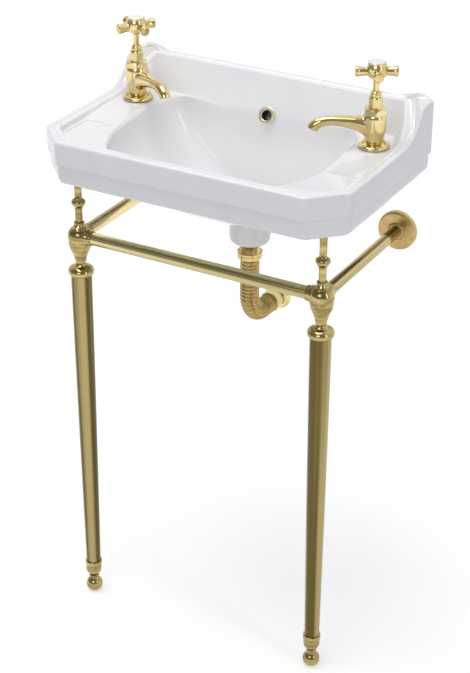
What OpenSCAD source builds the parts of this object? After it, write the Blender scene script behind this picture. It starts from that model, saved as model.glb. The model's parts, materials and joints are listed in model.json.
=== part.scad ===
// Washstand basin: a glazed ceramic basin fixed to a wall, with a turned brass stand, two pillar
// taps and a ribbed waste pipe. Millimetres. X runs to the right, Y runs into the wall, Z is up.
// The wall is the plane Y = 0. Heights are written above the floor, and placed() moves them so
// that the origin is midway between the two wall fixing holes, on the back of the basin.

/* [Basin] */
// Width of the basin over its rim
basin_w = 515; // [480:1:600]
// Depth of the basin from the wall to its front edge
basin_d = 324; // [310:1:380]
// Height of the rim above the floor
rim_h = 848; // [800:1:900]
// Height of the apron from the rim to its bottom edge
apron_h = 70; // [60:1:80]
// Height of the lower, set back band of the apron
lower_band_h = 32; // [24:1:36]
// Step between the upper and lower bands of the apron
band_step = 4; // [2:0.5:5]
// Length that is clipped from each side of a front corner
corner_clip = 51; // [44:1:56]
// Width of the raised rim
rim_w = 20; // [17:0.5:22]
// Drop from the top of the rim to the tap platforms
ledge_drop = 5; // [4:0.5:7]
// Drop from the tap platforms to the soap trays in front of them
tray_drop = 5; // [3:0.5:6]
// Distance from the wall to the front edge of a tap platform
platform_d = 138; // [130:1:150]
// Length of the slope from a tap platform to its soap tray
tray_slope = 66; // [40:1:70]
// Thickness of the ceramic walls
wall_t = 12; // [10:0.5:13]
// Thickness of the ledge that carries the taps
ledge_t = 14; // [12:0.5:16]

/* [Upstand] */
// Height of the upstand along the wall, above the rim
upstand_h = 45; // [35:1:55]
// Thickness of the upstand at its top
upstand_t = 17; // [14:0.5:20]
// Slope of the upstand's face, in millimetres over its height
upstand_lean = 25; // [18:1:28]
// Depth of the flat top at each end of the upstand
ear_d = 40; // [34:1:46]
// Length over which the side rims sweep down from the upstand
sweep_l = 72; // [60:1:80]
// Size of the turned inner corners behind the taps
inner_clip = 20; // [16:1:24]

/* [Bowl] */
// Distance from the side edge of the basin to the bowl
bowl_inset = 86; // [84:0.5:92]
// Depth of the bowl below the rim
bowl_depth = 148; // [130:1:155]
// Distance from the wall to the axis of the waste
waste_y = 99; // [94:1:110]
// Radius of the floor of the bowl round the waste
floor_r = 37; // [34:0.5:40]
// Diameter of the ceramic boss round the waste
boss_d = 66; // [58:0.5:68]
// Height of the boss below the floor of the bowl
boss_h = 56; // [52:1:70]
// Diameter of the waste hole
waste_hole_d = 37; // [35:0.5:40]
// Depth of the recess for the waste flange
recess_t = 3; // [2:0.5:4]
// Diameter of the overflow hole
overflow_d = 22; // [20:0.5:24]
// Height of the overflow below the rim
overflow_drop = 12; // [10:1:18]
// Width of the overflow duct inside
duct_w = 38; // [30:1:44]
// Depth of the overflow duct, front to back
duct_t = 13; // [10:0.5:14]

/* [Wall fixing] */
// Distance between the two wall fixing holes
fixing_gap = 280; // [240:5:320]
// Depth of the fixing holes below the rim
fixing_drop = 43; // [38:1:46]
// Diameter of the wall fixing holes
fixing_d = 14; // [12:0.5:16]

/* [Taps] */
// Distance from the side edge of the basin to a tap
tap_inset = 53; // [51:0.5:54]
// Distance from the wall to a tap
tap_y = 96; // [92:1:100]
// Diameter of the tap holes in the ledge
tap_hole_d = 28; // [24:0.5:30]
// Diameter of the threaded tap tail
tail_d = 20.955; // [20:0.005:21.5]
// Length of the tap tail below the ledge
tail_l = 44; // [40:1:52]
// Bore of the tap tail
tail_bore = 14; // [11:0.5:15]
// Diameter of the foot flange of a tap
tap_foot_d = 47; // [42:0.5:49]
// Greatest diameter of a tap body
tap_body_d = 35; // [33:0.5:37]
// Height of a tap body
tap_body_h = 50.5; // [48:0.5:54]
// Diameter of the valve chamber
chamber_d = 19; // [17:0.5:20]
// Diameter of the thread that the bonnet screws into
bonnet_thread_d = 25; // [23:0.5:26]
// Width of the bonnet's hexagon across its flats
bonnet_hex = 30.5; // [27:0.5:31.5]
// Height of the bonnet's hexagon
bonnet_hex_h = 9; // [6:0.5:10]
// Diameter of the bonnet's sleeve
bonnet_d = 20.5; // [18:0.5:22]
// Height of the bonnet above the body
bonnet_h = 26.5; // [22:0.5:30]
// Diameter of the gland nut
gland_d = 17; // [15:0.5:18]
// Height of the gland nut
gland_h = 8.5; // [7:0.5:10]
// Diameter of the spindle
spindle_d = 9.5; // [8.5:0.1:10]
// Length of spindle that shows under the handle
spindle_show = 17; // [14:0.5:20]
// Thickness of the washer under a tap
tap_seal_t = 1.5; // [1:0.25:2]
// Thickness of the washer above a back nut
back_washer_t = 2; // [1.5:0.25:3]
// Height of a tap back nut
back_nut_h = 8; // [6:0.5:10]
// Width of a tap back nut across its flats
back_nut_hex = 29; // [27:0.5:29.5]

/* [Spout] */
// Reach of a spout from the axis of its tap
spout_reach = 91; // [80:1:98]
// Angle of a spout towards the front
spout_turn = 30; // [15:1:40]
// Thickness of the wall of a spout
spout_wall = 2.6; // [2:0.1:3.2]

/* [Handles] */
// Span of a cross handle over its arms
handle_span = 64; // [60:1:74]
// Diameter of the hub of a cross handle
hub_d = 31; // [30:0.5:33]
// Height of the hub
hub_h = 27; // [24:0.5:30]
// Diameter of an arm at its end
arm_d = 16; // [14:0.5:18]
// Diameter of the white index disc
index_d = 25.5; // [22:0.5:25.5]
// Thickness of the white index disc
index_t = 4; // [3:0.25:5]

/* [Waste] */
// Diameter of the waste flange
flange_d = 62; // [56:0.5:64]
// Diameter of the threaded waste body
waste_d = 33.2; // [32:0.1:34]
// Bore of the waste body
waste_bore = 27; // [24:0.5:28]
// Length of the waste body below the boss
waste_tail_l = 22; // [20:0.5:26]
// Diameter of the waste plug
plug_d = 36; // [33:0.5:38]
// Height that the waste plug lifts
plug_lift = 8; // [5:1:10]
// Diameter of the waste back nut
waste_nut_d = 41; // [39:0.5:44]
// Height of the waste back nut
waste_nut_h = 5; // [4:0.5:6]
// Depth of the recess in the boss that takes the back nut and its washer
nut_recess = 7; // [6:0.5:9]
// Diameter of the union nut
union_d = 41; // [39:0.5:44]
// Height of the union nut
union_h = 12; // [10:0.5:16]

/* [Waste pipe] */
// Diameter of the pipe over its ribs
pipe_d = 31.5; // [29:0.5:31.5]
// Bore of the pipe
pipe_bore = 23; // [20:0.5:24]
// Depth of the grooves between the ribs
rib_depth = 1.6; // [1:0.1:2]
// Distance from one rib to the next
rib_pitch = 6; // [4:0.25:7]
// Share of the pipe's drop that its bend takes
bend_share = 0.391; // [0.36:0.001:0.42]
// Height of the outlet above the floor
outlet_h = 505; // [480:1:530]
// Diameter of the plain tail that enters the wall
outlet_d = 32; // [30:0.5:34]
// Bore of the plain tail
outlet_bore = 27; // [24:0.5:28]
// Length of the plain tail behind the wall face
outlet_l = 25; // [15:1:40]
// Diameter of the outlet's wall plate
rosette_d = 47; // [46:1:60]

/* [Stand] */
// Distance from the side edge of the basin to the axis of a leg
leg_inset = 48; // [46:0.5:54]
// Distance from the front edge of the basin to the axis of a leg
leg_setback = 59; // [56:0.5:66]
// Height of the rails above the floor
rail_h = 672; // [640:1:690]
// Outer diameter of the rails
rail_d = 20; // [18:0.5:20.5]
// Bore of the rails
rail_bore = 17; // [14:0.5:17.5]
// Diameter of the ball joints
ball_d = 38; // [36:0.5:42]
// Length of a rail inside its socket
socket_l = 13; // [11:0.5:15]
// Diameter of a support post
post_d = 11.5; // [11:0.5:14]
// Diameter of the ring on a support post
post_ring_d = 22.5; // [19:0.5:25]
// Place of the ring on a support post, as a share of its length
post_ring_place = 0.459; // [0.4:0.001:0.56]
// Thickness of the rubber pad on a support post
pad_t = 3.7; // [2.5:0.1:5]
// Diameter of the rubber pad
pad_d = 25; // [20:0.5:28]
// Height that a support post lowers
post_travel = 8; // [4:1:9]

/* [Legs] */
// Diameter of a leg at its top
leg_top_d = 33; // [30:0.5:36]
// Diameter of a leg at its foot
leg_foot_d = 24; // [22.5:0.5:26]
// Bore of a leg
leg_bore = 20; // [16:0.5:20.5]
// Height of the top of a leg tube below the rails
leg_drop = 66; // [62:1:70]
// Diameter of the collar at the top of a leg
collar_d = 41.5; // [38:0.5:46]
// Height of the foot of a leg tube above the floor
leg_foot_h = 62; // [58:1:70]
// Diameter of the ball foot
foot_d = 28; // [24:0.5:30]
// Diameter of the levelling stud
stud_d = 8; // [6:0.5:10]
// Height that a ball foot screws out
foot_travel = 10; // [4:1:12]

/* [Wall flanges] */
// Diameter of the cover on the wall
cover_d = 64; // [60:1:72]
// Depth of the cover
cover_t = 9; // [8:0.5:12]
// Diameter of the bracket plate under the cover
plate_d = 56; // [52:0.5:57]
// Thickness of the bracket plate
plate_t = 5; // [4:0.5:6]
// Distance between the screw holes of a bracket
screw_gap = 38; // [34:1:42]
// Diameter of the screw holes of a bracket
screw_d = 5.5; // [4.5:0.1:6]

/* [Hidden] */

// Clearances
running = 0.05;
thread_gap = 0.1;
seat_gap = 0.3;
round_fn = 64;

// Colours
glaze = "white";
polished = [0.90, 0.74, 0.36];
satin = [0.72, 0.60, 0.30];
rubber = [0.12, 0.12, 0.12];

// Heights above the floor
z_fix = rim_h - fixing_drop;
z_apron = rim_h - apron_h;
z_step = z_apron + lower_band_h;
z_ledge = rim_h - ledge_drop;
z_ceiling = z_ledge - ledge_t;
z_floor = rim_h - bowl_depth;
z_seat = z_floor - recess_t;
z_boss = z_floor - boss_h;

// Places in plan
half_w = basin_w / 2;
tap_x = half_w - tap_inset;
leg_x = half_w - leg_inset;
leg_y = leg_setback - basin_d;
bowl_x = half_w - bowl_inset;
bowl_front = basin_d - rim_w - 6;
bowl_back = upstand_t + upstand_lean + 4;

module placed() {
    translate([0, 0, -z_fix]) children();
}

function lerp(a, b, t) = a + (b - a) * t;

// Basin: a closed loop of rings, each ring an outline through the same corners
// Each corner list runs up the right-hand side, from the front edge to the back edge.

// Points along each stretch of an outline, from the front right corner round to the front
side_steps = [3, 6, 4, 3, 2];
back_steps = 8;
front_steps = 8;
outline_steps = concat(side_steps, [back_steps], [for (i = [4:-1:0]) side_steps[i]], [front_steps]);

function both_sides(c) = concat(c, [for (i = [len(c) - 1:-1:0]) [-c[i][0], c[i][1]]]);

function outline(c) = let(loop = both_sides(c), n = len(loop)) [
    for (i = [0:n - 1]) for (k = [0:outline_steps[i] - 1])
        lerp(loop[i], loop[(i + 1) % n], k / outline_steps[i])
];

// The outer edge, moved in by a given amount, with its back at a given distance from the wall
function clip(inset) = corner_clip - inset * 0.586;
function edge_corners(inset, back) = let(x = half_w - inset, y = basin_d - inset, c = clip(inset)) [
    [x - c, -y], [x, c - y], [x, -ear_d - sweep_l], [x, -ear_d - sweep_l * 0.3],
    [x, -ear_d], [x, -back]
];

// The inner edge of the rim, which turns across the rear corners on to the upstand
function rim_corners(inset, back) = let(x = half_w - inset, y = basin_d - inset, c = clip(inset)) [
    [x - c, -y], [x, c - y], [x, -ear_d - sweep_l], [x, -back - inner_clip * 1.6],
    [x - inner_clip, -back], [x - inner_clip * 2, -back]
];

// The edge of the bowl, its floor round the waste, and a ring moved out from either
bowl_corners = [
    [bowl_x - 32, -bowl_front], [bowl_x, -bowl_front * 0.72], [bowl_x, -platform_d - 12],
    [bowl_x, -tap_y], [bowl_x - 8, -bowl_back - 18], [bowl_x - 24, -bowl_back]
];
floor_angles = [-62, -35, -8, 20, 47, 72];
function floor_corners(r) = [for (a = floor_angles) [r * cos(a), r * sin(a) - waste_y]];
outward = [[0.4, -1], [1, -0.4], [1, 0], [1, 0.3], [0.8, 0.7], [0.4, 1]];
function grown(c, t) = [for (i = [0:5]) c[i] + t * outward[i]];
function bowl_ring(k) = lerp(floor_corners(floor_r), bowl_corners, k);

// Heights round a ring
edge_line = outline(edge_corners(0, 0));
function sweep(y) = y > -ear_d ? 1 : pow(max(0, 1 + (y + ear_d) / sweep_l), 2);
function rim_ring(c, z) = let(o = outline(c)) [
    for (i = [0:len(o) - 1]) [o[i][0], o[i][1], z + upstand_h * sweep(edge_line[i][1])]
];
function flat_ring(c, z) = [for (p = outline(c)) [p[0], p[1], z]];
function ledge_z(y) = z_ledge - tray_drop * min(1, max(0, (-y - platform_d) / tray_slope));
function ledge_ring(c, drop) = [for (p = outline(c)) [p[0], p[1], ledge_z(p[1]) - drop]];
edge_of_bowl = outline(bowl_corners);
function wall_ring(k, grow, drop) = let(o = outline(grown(bowl_ring(k), grow))) [
    for (i = [0:len(o) - 1])
        [o[i][0], o[i][1], lerp(z_floor, ledge_z(edge_of_bowl[i][1]) - 4, k) - drop]
];

function basin_rings() = [
    flat_ring(edge_corners(band_step + 8, 0), z_apron),
    flat_ring(edge_corners(band_step + 3.5, 0), z_apron + 3.5),
    flat_ring(edge_corners(band_step, 0), z_apron + 11),
    flat_ring(edge_corners(band_step, 0), z_step - 4),
    flat_ring(edge_corners(0, 0), z_step),
    rim_ring(edge_corners(0, 0), rim_h - 5),
    rim_ring(edge_corners(1.5, 0), rim_h - 1.5),
    rim_ring(edge_corners(5, 0), rim_h),
    rim_ring(rim_corners(rim_w * 0.5, upstand_t * 0.55), rim_h),
    rim_ring(rim_corners(rim_w * 0.6, upstand_t * 0.65), rim_h - 1.5),
    rim_ring(rim_corners(rim_w, upstand_t), rim_h - 2),
    ledge_ring(rim_corners(rim_w + 3, upstand_t + upstand_lean), 0),
    ledge_ring(grown(bowl_corners, 4), 0.5),
    ledge_ring(bowl_corners, 4),
    wall_ring(0.85, 2, 0),
    wall_ring(0.5, 3, 0),
    wall_ring(0.2, 2, 3),
    flat_ring(floor_corners(floor_r), z_floor),
    flat_ring(floor_corners(floor_r - recess_t), z_seat),
    flat_ring(floor_corners(waste_hole_d / 2 - 4), z_seat),
    flat_ring(floor_corners(waste_hole_d / 2 - 4), z_seat - wall_t),
    flat_ring(floor_corners(floor_r + 2), z_seat - wall_t),
    wall_ring(0.2, wall_t + 2, 6 + 3),
    wall_ring(0.5, wall_t + 3, 5),
    flat_ring(grown(bowl_ring(0.9), wall_t + 2), z_ceiling),
    flat_ring(edge_corners(band_step + wall_t, wall_t), z_ceiling),
    flat_ring(edge_corners(band_step + wall_t, wall_t), z_apron + 5),
    flat_ring(edge_corners(band_step + wall_t - 0.5, wall_t), z_apron)
];

// Joins rings into one closed surface that also closes on itself, in triangles
module ring_loop(rings) {
    n = len(rings);
    m = len(rings[0]);
    points = [for (r = rings) for (p = r) p];
    faces = [
        for (i = [0:n - 1]) for (j = [0:m - 1]) for (half = [0:1])
            let(a = i * m + j, b = i * m + (j + 1) % m,
                c = ((i + 1) % n) * m + (j + 1) % m, d = ((i + 1) % n) * m + j)
            half == 0 ? [a, c, b] : [a, d, c]
    ];
    polyhedron(points, faces, convexity = 10);
}

// Joins rings into a solid with flat ends, in triangles
module ring_stack(rings) {
    n = len(rings);
    m = len(rings[0]);
    points = [for (r = rings) for (p = r) p];
    sides = [
        for (i = [0:n - 2]) for (j = [0:m - 1]) for (half = [0:1])
            let(a = i * m + j, b = i * m + (j + 1) % m,
                c = (i + 1) * m + (j + 1) % m, d = (i + 1) * m + j)
            half == 0 ? [a, c, b] : [a, d, c]
    ];
    low_end = [for (j = [1:m - 2]) [0, j, j + 1]];
    high_end = [for (j = [1:m - 2]) [(n - 1) * m, (n - 1) * m + j + 1, (n - 1) * m + j]];
    polyhedron(points, concat(sides, low_end, high_end), convexity = 10);
}

// The face of the upstand runs on down as the back of the bowl
face_slope = upstand_lean / (upstand_h + ledge_drop);
z_overflow = rim_h - overflow_drop;
y_overflow = -bowl_back - 1;
face_angle = atan(face_slope);
duct_cover = 7;
z_duct_turn = z_seat - wall_t;
function back_of_bowl(z) = let(k = (z - z_floor) / (z_ledge - 4 - z_floor))
    lerp(floor_corners(floor_r)[5][1], -bowl_back, k) + 2;

// The duct behind the bowl, from the overflow down to the boss, as an outline in Y and Z
duct_heights = [z_ledge - 4, z_ceiling - 4, lerp(z_floor, z_ceiling, 0.5), z_floor + 6];
function duct_front(i, front) = back_of_bowl(duct_heights[i]) + front;
function duct_profile(front, depth, top, low, reach) = concat(
    [for (i = [0:3]) [duct_front(i, front), duct_heights[i] - (i == 0 ? top : 0)]],
    [[duct_front(3, front), z_duct_turn - front], [reach, z_duct_turn - front]],
    [[reach, z_boss + low], [duct_front(3, front) + depth, z_boss + low]],
    [for (i = [3:-1:0])
        [min(duct_front(i, front) + depth, -duct_cover), duct_heights[i] - (i == 0 ? top : 0)]]
);

module duct(front, depth, top, low, reach, width) {
    rotate([90, 0, 90]) translate([0, 0, -width / 2])
        linear_extrude(width) polygon(duct_profile(front, depth, top, low, reach));
}

module basin_boss() {
    r = boss_d / 2;
    edge = 8;
    translate([0, -waste_y, 0]) rotate_extrude($fn = round_fn)
        polygon(concat(
            [[0, z_seat - 2], [0, z_boss], [r - edge, z_boss]],
            [for (a = [-75:15:0]) [r - edge + edge * cos(a), z_boss + edge + edge * sin(a)]],
            [[r, z_seat - 2]]
        ));
}

// Solid ceramic pads in the front corners, which the support posts press on
pad_seat = z_apron + 7;
pillar_d = 60;

module basin() {
    color(glaze) placed() difference() {
        union() {
            ring_loop(basin_rings());
            basin_boss();
            duct(wall_t - 5, duct_t + 10, 0, 12, -waste_y + boss_d / 2 - 6, duct_w + 2 * duct_cover);
            for (side = [-1, 1]) translate([side * leg_x, leg_y, pad_seat])
                cylinder(h = z_ceiling + 4 - pad_seat, d = pillar_d, $fn = round_fn);
        }
        duct(wall_t - 1, duct_t, 0, 12 + duct_cover, -waste_y, duct_w);
        translate([0, -waste_y, z_boss - 1]) cylinder(h = boss_h + 1, d = waste_hole_d, $fn = round_fn);
        translate([0, -waste_y, z_boss - 1])
            cylinder(h = nut_recess + 1, d = waste_nut_d + 4, $fn = round_fn);
        translate([0, y_overflow, z_overflow]) rotate([90 - face_angle, 0, 0])
            translate([0, 0, -wall_t - 4]) cylinder(h = wall_t + 12, d = overflow_d, $fn = round_fn);
        for (side = [-1, 1]) {
            translate([side * tap_x, -tap_y, z_ceiling - 1])
                cylinder(h = ledge_t + 2, d = tap_hole_d, $fn = round_fn);
            translate([side * fixing_gap / 2, 1, z_fix]) rotate([90, 0, 0])
                cylinder(h = wall_t + band_step + 3, d = fixing_d, $fn = round_fn);
        }
    }
}

module overflow_ring() {
    r = overflow_d / 2;
    color(polished) placed() translate([0, y_overflow, z_overflow]) rotate([90 - face_angle, 0, 0])
        translate([0, 0, 1.5]) rotate_extrude($fn = round_fn)
            polygon([
                [r - 3, -wall_t + 1], [r - seat_gap, -wall_t + 1], [r - seat_gap, 0.3], [r + 2.5, 0.3],
                [r + 2.5, 1.3], [r + 1, 2.5], [r - 1, 2.5], [r - 3, 0.8]
            ]);
}

// Waste: a slotted body that clamps the ceramic between its flange and its back nut
z_flange = z_seat + 1;
waste_washer_t = 1.5;
z_washer = z_boss + nut_recess - waste_washer_t;
z_waste_nut = z_washer - waste_nut_h;
z_tail = z_boss - waste_tail_l;
z_pipe = z_tail - 2;
bend_r = (z_pipe - outlet_h) * bend_share;
slot_w = 8;
stem_d = 8;
guide_d = 13;
guide_h = 6;
guide_drop = 22;
z_guide = z_flange - guide_drop;
z_slot = z_boss + 20;
slot_h = z_guide - 1 - z_slot;
stem_l = guide_drop + plug_lift;
core_r = plug_d / 2 - 8;
seat_r = plug_d / 2 - 3;
seal_top = 0.2;
seal_low = -2;
pipe_grip = pipe_d / 2 + thread_gap;

module at_waste() {
    placed() translate([0, -waste_y, 0]) children();
}

module waste_body() {
    bar_t = 2.5;
    color(polished) at_waste() difference() {
        union() {
            rotate_extrude($fn = round_fn) polygon([
                [waste_bore / 2, z_tail], [waste_d / 2, z_tail], [waste_d / 2, z_flange],
                [flange_d / 2, z_flange], [flange_d / 2, z_flange + 1.2],
                [flange_d / 2 - 2, z_flange + 2.2], [plug_d / 2 + 1, z_flange + 1.6],
                [seat_r, z_flange - 1.5], [waste_bore / 2, z_flange - 4]
            ]);
            translate([0, 0, z_guide]) cylinder(h = guide_h, d = guide_d, $fn = round_fn);
            for (turn = [0, 120, 240]) rotate([0, 0, turn])
                translate([0, -bar_t / 2, z_guide]) cube([waste_bore / 2 + 1, bar_t, guide_h]);
        }
        translate([0, 0, z_guide - 1])
            cylinder(h = guide_h + 2, d = stem_d + 2 * running, $fn = round_fn);
        for (turn = [0, 90]) rotate([0, 0, turn])
            translate([-waste_d, -slot_w / 2, z_slot])
                cube([waste_d * 2, slot_w, slot_h]);
    }
}

module waste_top_seal() {
    color(rubber) at_waste() translate([0, 0, z_seat]) difference() {
        cylinder(h = z_flange - z_seat, d = flange_d - 3, $fn = round_fn);
        translate([0, 0, -1]) cylinder(h = 4, d = waste_d + 2 * seat_gap, $fn = round_fn);
    }
}

// The plug's stem slides in the guide, and its seal closes on the cone of the waste body
module waste_plug() {
    stem = stem_d / 2;
    color(polished) at_waste() translate([0, 0, z_flange]) rotate_extrude($fn = round_fn) polygon([
        [0, 5], [plug_d / 2 - 8, 4.6], [plug_d / 2 - 2, 3.6], [plug_d / 2, 2.6], [plug_d / 2, 1.9],
        [plug_d / 2 - 2, seal_top], [core_r, seal_top], [core_r, seal_low], [core_r + 1.5, seal_low],
        [core_r + 1.5, seal_low - 1.5], [stem, seal_low - 1.5], [stem, -stem_l], [0, -stem_l]
    ]);
}

module plug_seal() {
    color(rubber) at_waste() translate([0, 0, z_flange]) rotate_extrude($fn = round_fn) polygon([
        [core_r + running, seal_low + running], [seat_r - 0.6, seal_low + running],
        [seat_r + 1.6, seal_top - running], [core_r + running, seal_top - running]
    ]);
}

module waste_lower_washer() {
    color(rubber) at_waste() translate([0, 0, z_washer]) difference() {
        cylinder(h = waste_washer_t, d = waste_nut_d, $fn = round_fn);
        translate([0, 0, -1]) cylinder(h = 4, d = waste_d + 2 * seat_gap, $fn = round_fn);
    }
}

module waste_back_nut() {
    color(polished) at_waste() translate([0, 0, z_waste_nut]) difference() {
        rotate_extrude($fn = round_fn) polygon([
            [waste_d / 2 + thread_gap, 0], [waste_nut_d / 2 - 3, 0], [waste_nut_d / 2, 2],
            [waste_nut_d / 2, waste_nut_h], [waste_d / 2 + thread_gap, waste_nut_h]
        ]);
        for (turn = [0, 90]) rotate([0, 0, turn])
            translate([-waste_nut_d, -2, -1]) cube([waste_nut_d * 2, 4, 2.5]);
    }
}

module waste_union_nut() {
    knurls = 36;
    lip = union_d / 2;
    skirt = 5;
    low = z_pipe - skirt;
    color(polished) at_waste() translate([0, 0, low]) difference() {
        rotate_extrude($fn = round_fn) polygon([
            [pipe_grip, 0], [lip - 2, 0], [lip - 1, 1], [lip - 1, union_h - 4],
            [lip, union_h - 3], [lip, union_h - 0.6], [lip - 0.6, union_h], [lip - 1.4, union_h],
            [lip - 2, union_h - 2.4], [waste_d / 2 + thread_gap, union_h - 2.4],
            [waste_d / 2 + thread_gap, skirt], [pipe_grip, skirt]
        ]);
        for (i = [0:knurls - 1]) rotate([0, 0, i * 360 / knurls])
            translate([lip - 1, 0, 1.5]) cylinder(h = union_h - 6, r = 0.6, $fn = 16);
    }
}

module union_washer() {
    color(rubber) at_waste() translate([0, 0, z_pipe]) difference() {
        cylinder(h = z_tail - z_pipe, d = waste_d, $fn = round_fn);
        translate([0, 0, -1]) cylinder(h = 4, d = pipe_bore, $fn = round_fn);
    }
}

// Waste pipe: a ribbed tube swept down, round a quarter bend and back to the wall
pipe_sides = 8;
y_pipe_end = -22;
drop_l = z_pipe - outlet_h - bend_r;
arc_l = bend_r * PI / 2;
run_l = waste_y + y_pipe_end - bend_r;
pipe_l = drop_l + arc_l + run_l;
ribs = floor(pipe_l / rib_pitch);

// Point and heading at a distance along the middle of the pipe, in Y and Z
function pipe_point(s) =
    s <= drop_l ? [-waste_y, z_pipe - s, -90]
    : s >= drop_l + arc_l ? [-waste_y + bend_r + (s - drop_l - arc_l), outlet_h, 0]
    : let(a = 90 * (s - drop_l) / arc_l)
        [-waste_y + bend_r - bend_r * cos(a), outlet_h + bend_r - bend_r * sin(a), a - 90];

function pipe_ring(s, r) = let(p = pipe_point(s)) [
    for (i = [0:pipe_sides - 1]) let(a = (i + 0.5) * 360 / pipe_sides)
        [r * cos(a), p[0] - r * sin(a) * sin(p[2]), p[1] + r * sin(a) * cos(p[2])]
];

crest = pipe_d / 2;
valley = pipe_d / 2 - rib_depth;
pipe_outside = concat(
    [pipe_ring(0, valley)],
    [for (i = [0:ribs - 1]) for (top = [0:1])
        pipe_ring((i + (top == 0 ? 0.3 : 0.8)) * pipe_l / ribs, top == 0 ? crest : valley)],
    [pipe_ring(pipe_l, valley)]
);
bore_steps = 12;
pipe_inside = concat(
    [pipe_ring(pipe_l, pipe_bore / 2)],
    [for (i = [bore_steps:-1:0]) pipe_ring(drop_l + arc_l * i / bore_steps, pipe_bore / 2)],
    [pipe_ring(0, pipe_bore / 2)]
);

module waste_pipe() {
    color(satin) placed() ring_loop(concat(pipe_outside, pipe_inside));
}

module at_outlet() {
    placed() translate([0, 0, outlet_h]) rotate([-90, 0, 0]) children();
}

module waste_wall_nut() {
    lip = outlet_d / 2 + 1.8;
    color(polished) at_outlet() rotate_extrude($fn = round_fn) polygon([
        [pipe_grip, y_pipe_end - 11], [lip - 1, y_pipe_end - 11], [lip, y_pipe_end - 9],
        [lip, y_pipe_end + 3], [lip - 0.8, y_pipe_end + 6], [outlet_d / 2 + thread_gap, y_pipe_end + 6],
        [outlet_d / 2 + thread_gap, y_pipe_end], [pipe_grip, y_pipe_end]
    ]);
}

// A groove marks how far the tail enters the fitting in the wall
stop_y = 2;
stop_w = 1.5;
stop_t = 0.6;

module waste_outlet() {
    color(polished) at_outlet() difference() {
        translate([0, 0, y_pipe_end]) cylinder(h = outlet_l - y_pipe_end, d = outlet_d, $fn = round_fn);
        translate([0, 0, y_pipe_end - 1])
            cylinder(h = outlet_l - y_pipe_end + 2, d = outlet_bore, $fn = round_fn);
        ring_washer(stop_y, stop_w, outlet_d + 2, outlet_d - 2 * stop_t);
    }
}

module waste_wall_rosette() {
    r = rosette_d / 2;
    color(polished) at_outlet() rotate_extrude($fn = round_fn) polygon([
        [outlet_d / 2 + running, 0], [r, 0], [r, -1.5], [r - 3, -4], [outlet_d / 2 + 4, -6],
        [outlet_d / 2 + 2.5, -11], [outlet_d / 2 + running, -11]
    ]);
}

// Taps: the hot tap is on the left and the cold tap on the right, as mirror images
z_tap = z_ledge + tap_seal_t;
z_body_top = z_tap + tap_body_h;
z_chamber = z_tap + 17;
z_thread = z_body_top - 11;
z_tail_end = z_ledge - tail_l - ledge_t;
z_bonnet_top = z_body_top + bonnet_h;
z_gland_top = z_bonnet_top + gland_h;
z_handle = z_gland_top + spindle_show;
hub_recess = index_t - 1.5;
valve_socket = 8;

// A relief groove parts the connector's thread on a tail from the thread of its back nut
relief_w = 2;
relief_t = 1;
z_relief = z_ceiling - back_washer_t - back_nut_h - 1.5 - relief_w;

// The turned down top of the spindle inside the hub, and the screw that holds the hub to it
z_spline = z_handle + 6;
spline_l = 12;
spline_d = spindle_d - 2;
screw_bore = 3.3;
head_d = 7.4;
head_h = 2.6;
head_recess = 3;

// The right-hand tap as drawn, turned so that X runs along its spout
module at_tap(side) {
    placed() mirror([side < 0 ? 1 : 0, 0, 0]) translate([tap_x, -tap_y, 0])
        rotate([0, 0, 180 + spout_turn]) children();
}

// Sections of the spout: share of the reach, height, half width, half height and heading
spout_path = [
    [0.06, -19, 11.5, 14, 0], [0.17, -19.5, 11.5, 15, 0], [0.24, -16.6, 11, 12.4, 0],
    [0.4, -13.2, 9.8, 9.4, 0], [0.57, -11.2, 8.8, 7.8, 0], [0.72, -10.6, 8.4, 7.3, -2],
    [0.83, -11.6, 8.4, 7.7, -14], [0.92, -14.8, 8.5, 8.3, -31], [0.975, -19, 8.6, 8.5, -52],
    [1, -24, 8.6, 8.6, -65]
];
spout_sides = 16;
root_rings = 3;
root_share = 0.6;
function spout_ring(i, thin, push) = let(
    p = spout_path[i], h = p[4], tall = (p[3] - thin) * (thin > 0 && i < root_rings ? root_share : 1)) [
    for (k = [0:spout_sides - 1]) let(a = k * 360 / spout_sides)
        [p[0] * spout_reach - tall * sin(a) * sin(h) + push * cos(h),
         (p[2] - thin) * cos(a),
         z_body_top + p[1] + tall * sin(a) * cos(h) + push * sin(h)]
];
last_ring = len(spout_path) - 1;

module spout_outside() {
    ring_stack([for (i = [0:last_ring]) spout_ring(i, 0, 0)]);
}

module spout_waterway() {
    ring_stack([for (i = [0:last_ring]) spout_ring(i, spout_wall, i == last_ring ? 2 : 0)]);
}

module tap_body_profile() {
    r = tap_body_d / 2;
    foot = tap_foot_d / 2;
    neck = tail_d / 2 + 1.1;
    h = tap_body_h;
    rotate_extrude($fn = round_fn) polygon([
        [0, z_tap], [foot, z_tap], [foot, z_tap + 2], [foot - 1, z_tap + 3.5],
        [foot - 2.5, z_tap + 4.4], [foot - 5, z_tap + 4.4], [foot - 6, z_tap + 4],
        [foot - 7, z_tap + 1.2], [neck, z_tap + 1], [neck, z_tap + 5.5],
        [r - 4, z_tap + 6.5], [r - 3.6, z_tap + 8], [r - 2.8, z_tap + h * 0.24],
        [r - 1.6, z_tap + h * 0.4], [r - 0.4, z_tap + h * 0.5], [r, z_tap + h * 0.58],
        [r, z_tap + h * 0.92], [r - 1, z_tap + h - 1.4], [r - 2, z_tap + h], [0, z_tap + h]
    ]);
}

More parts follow.
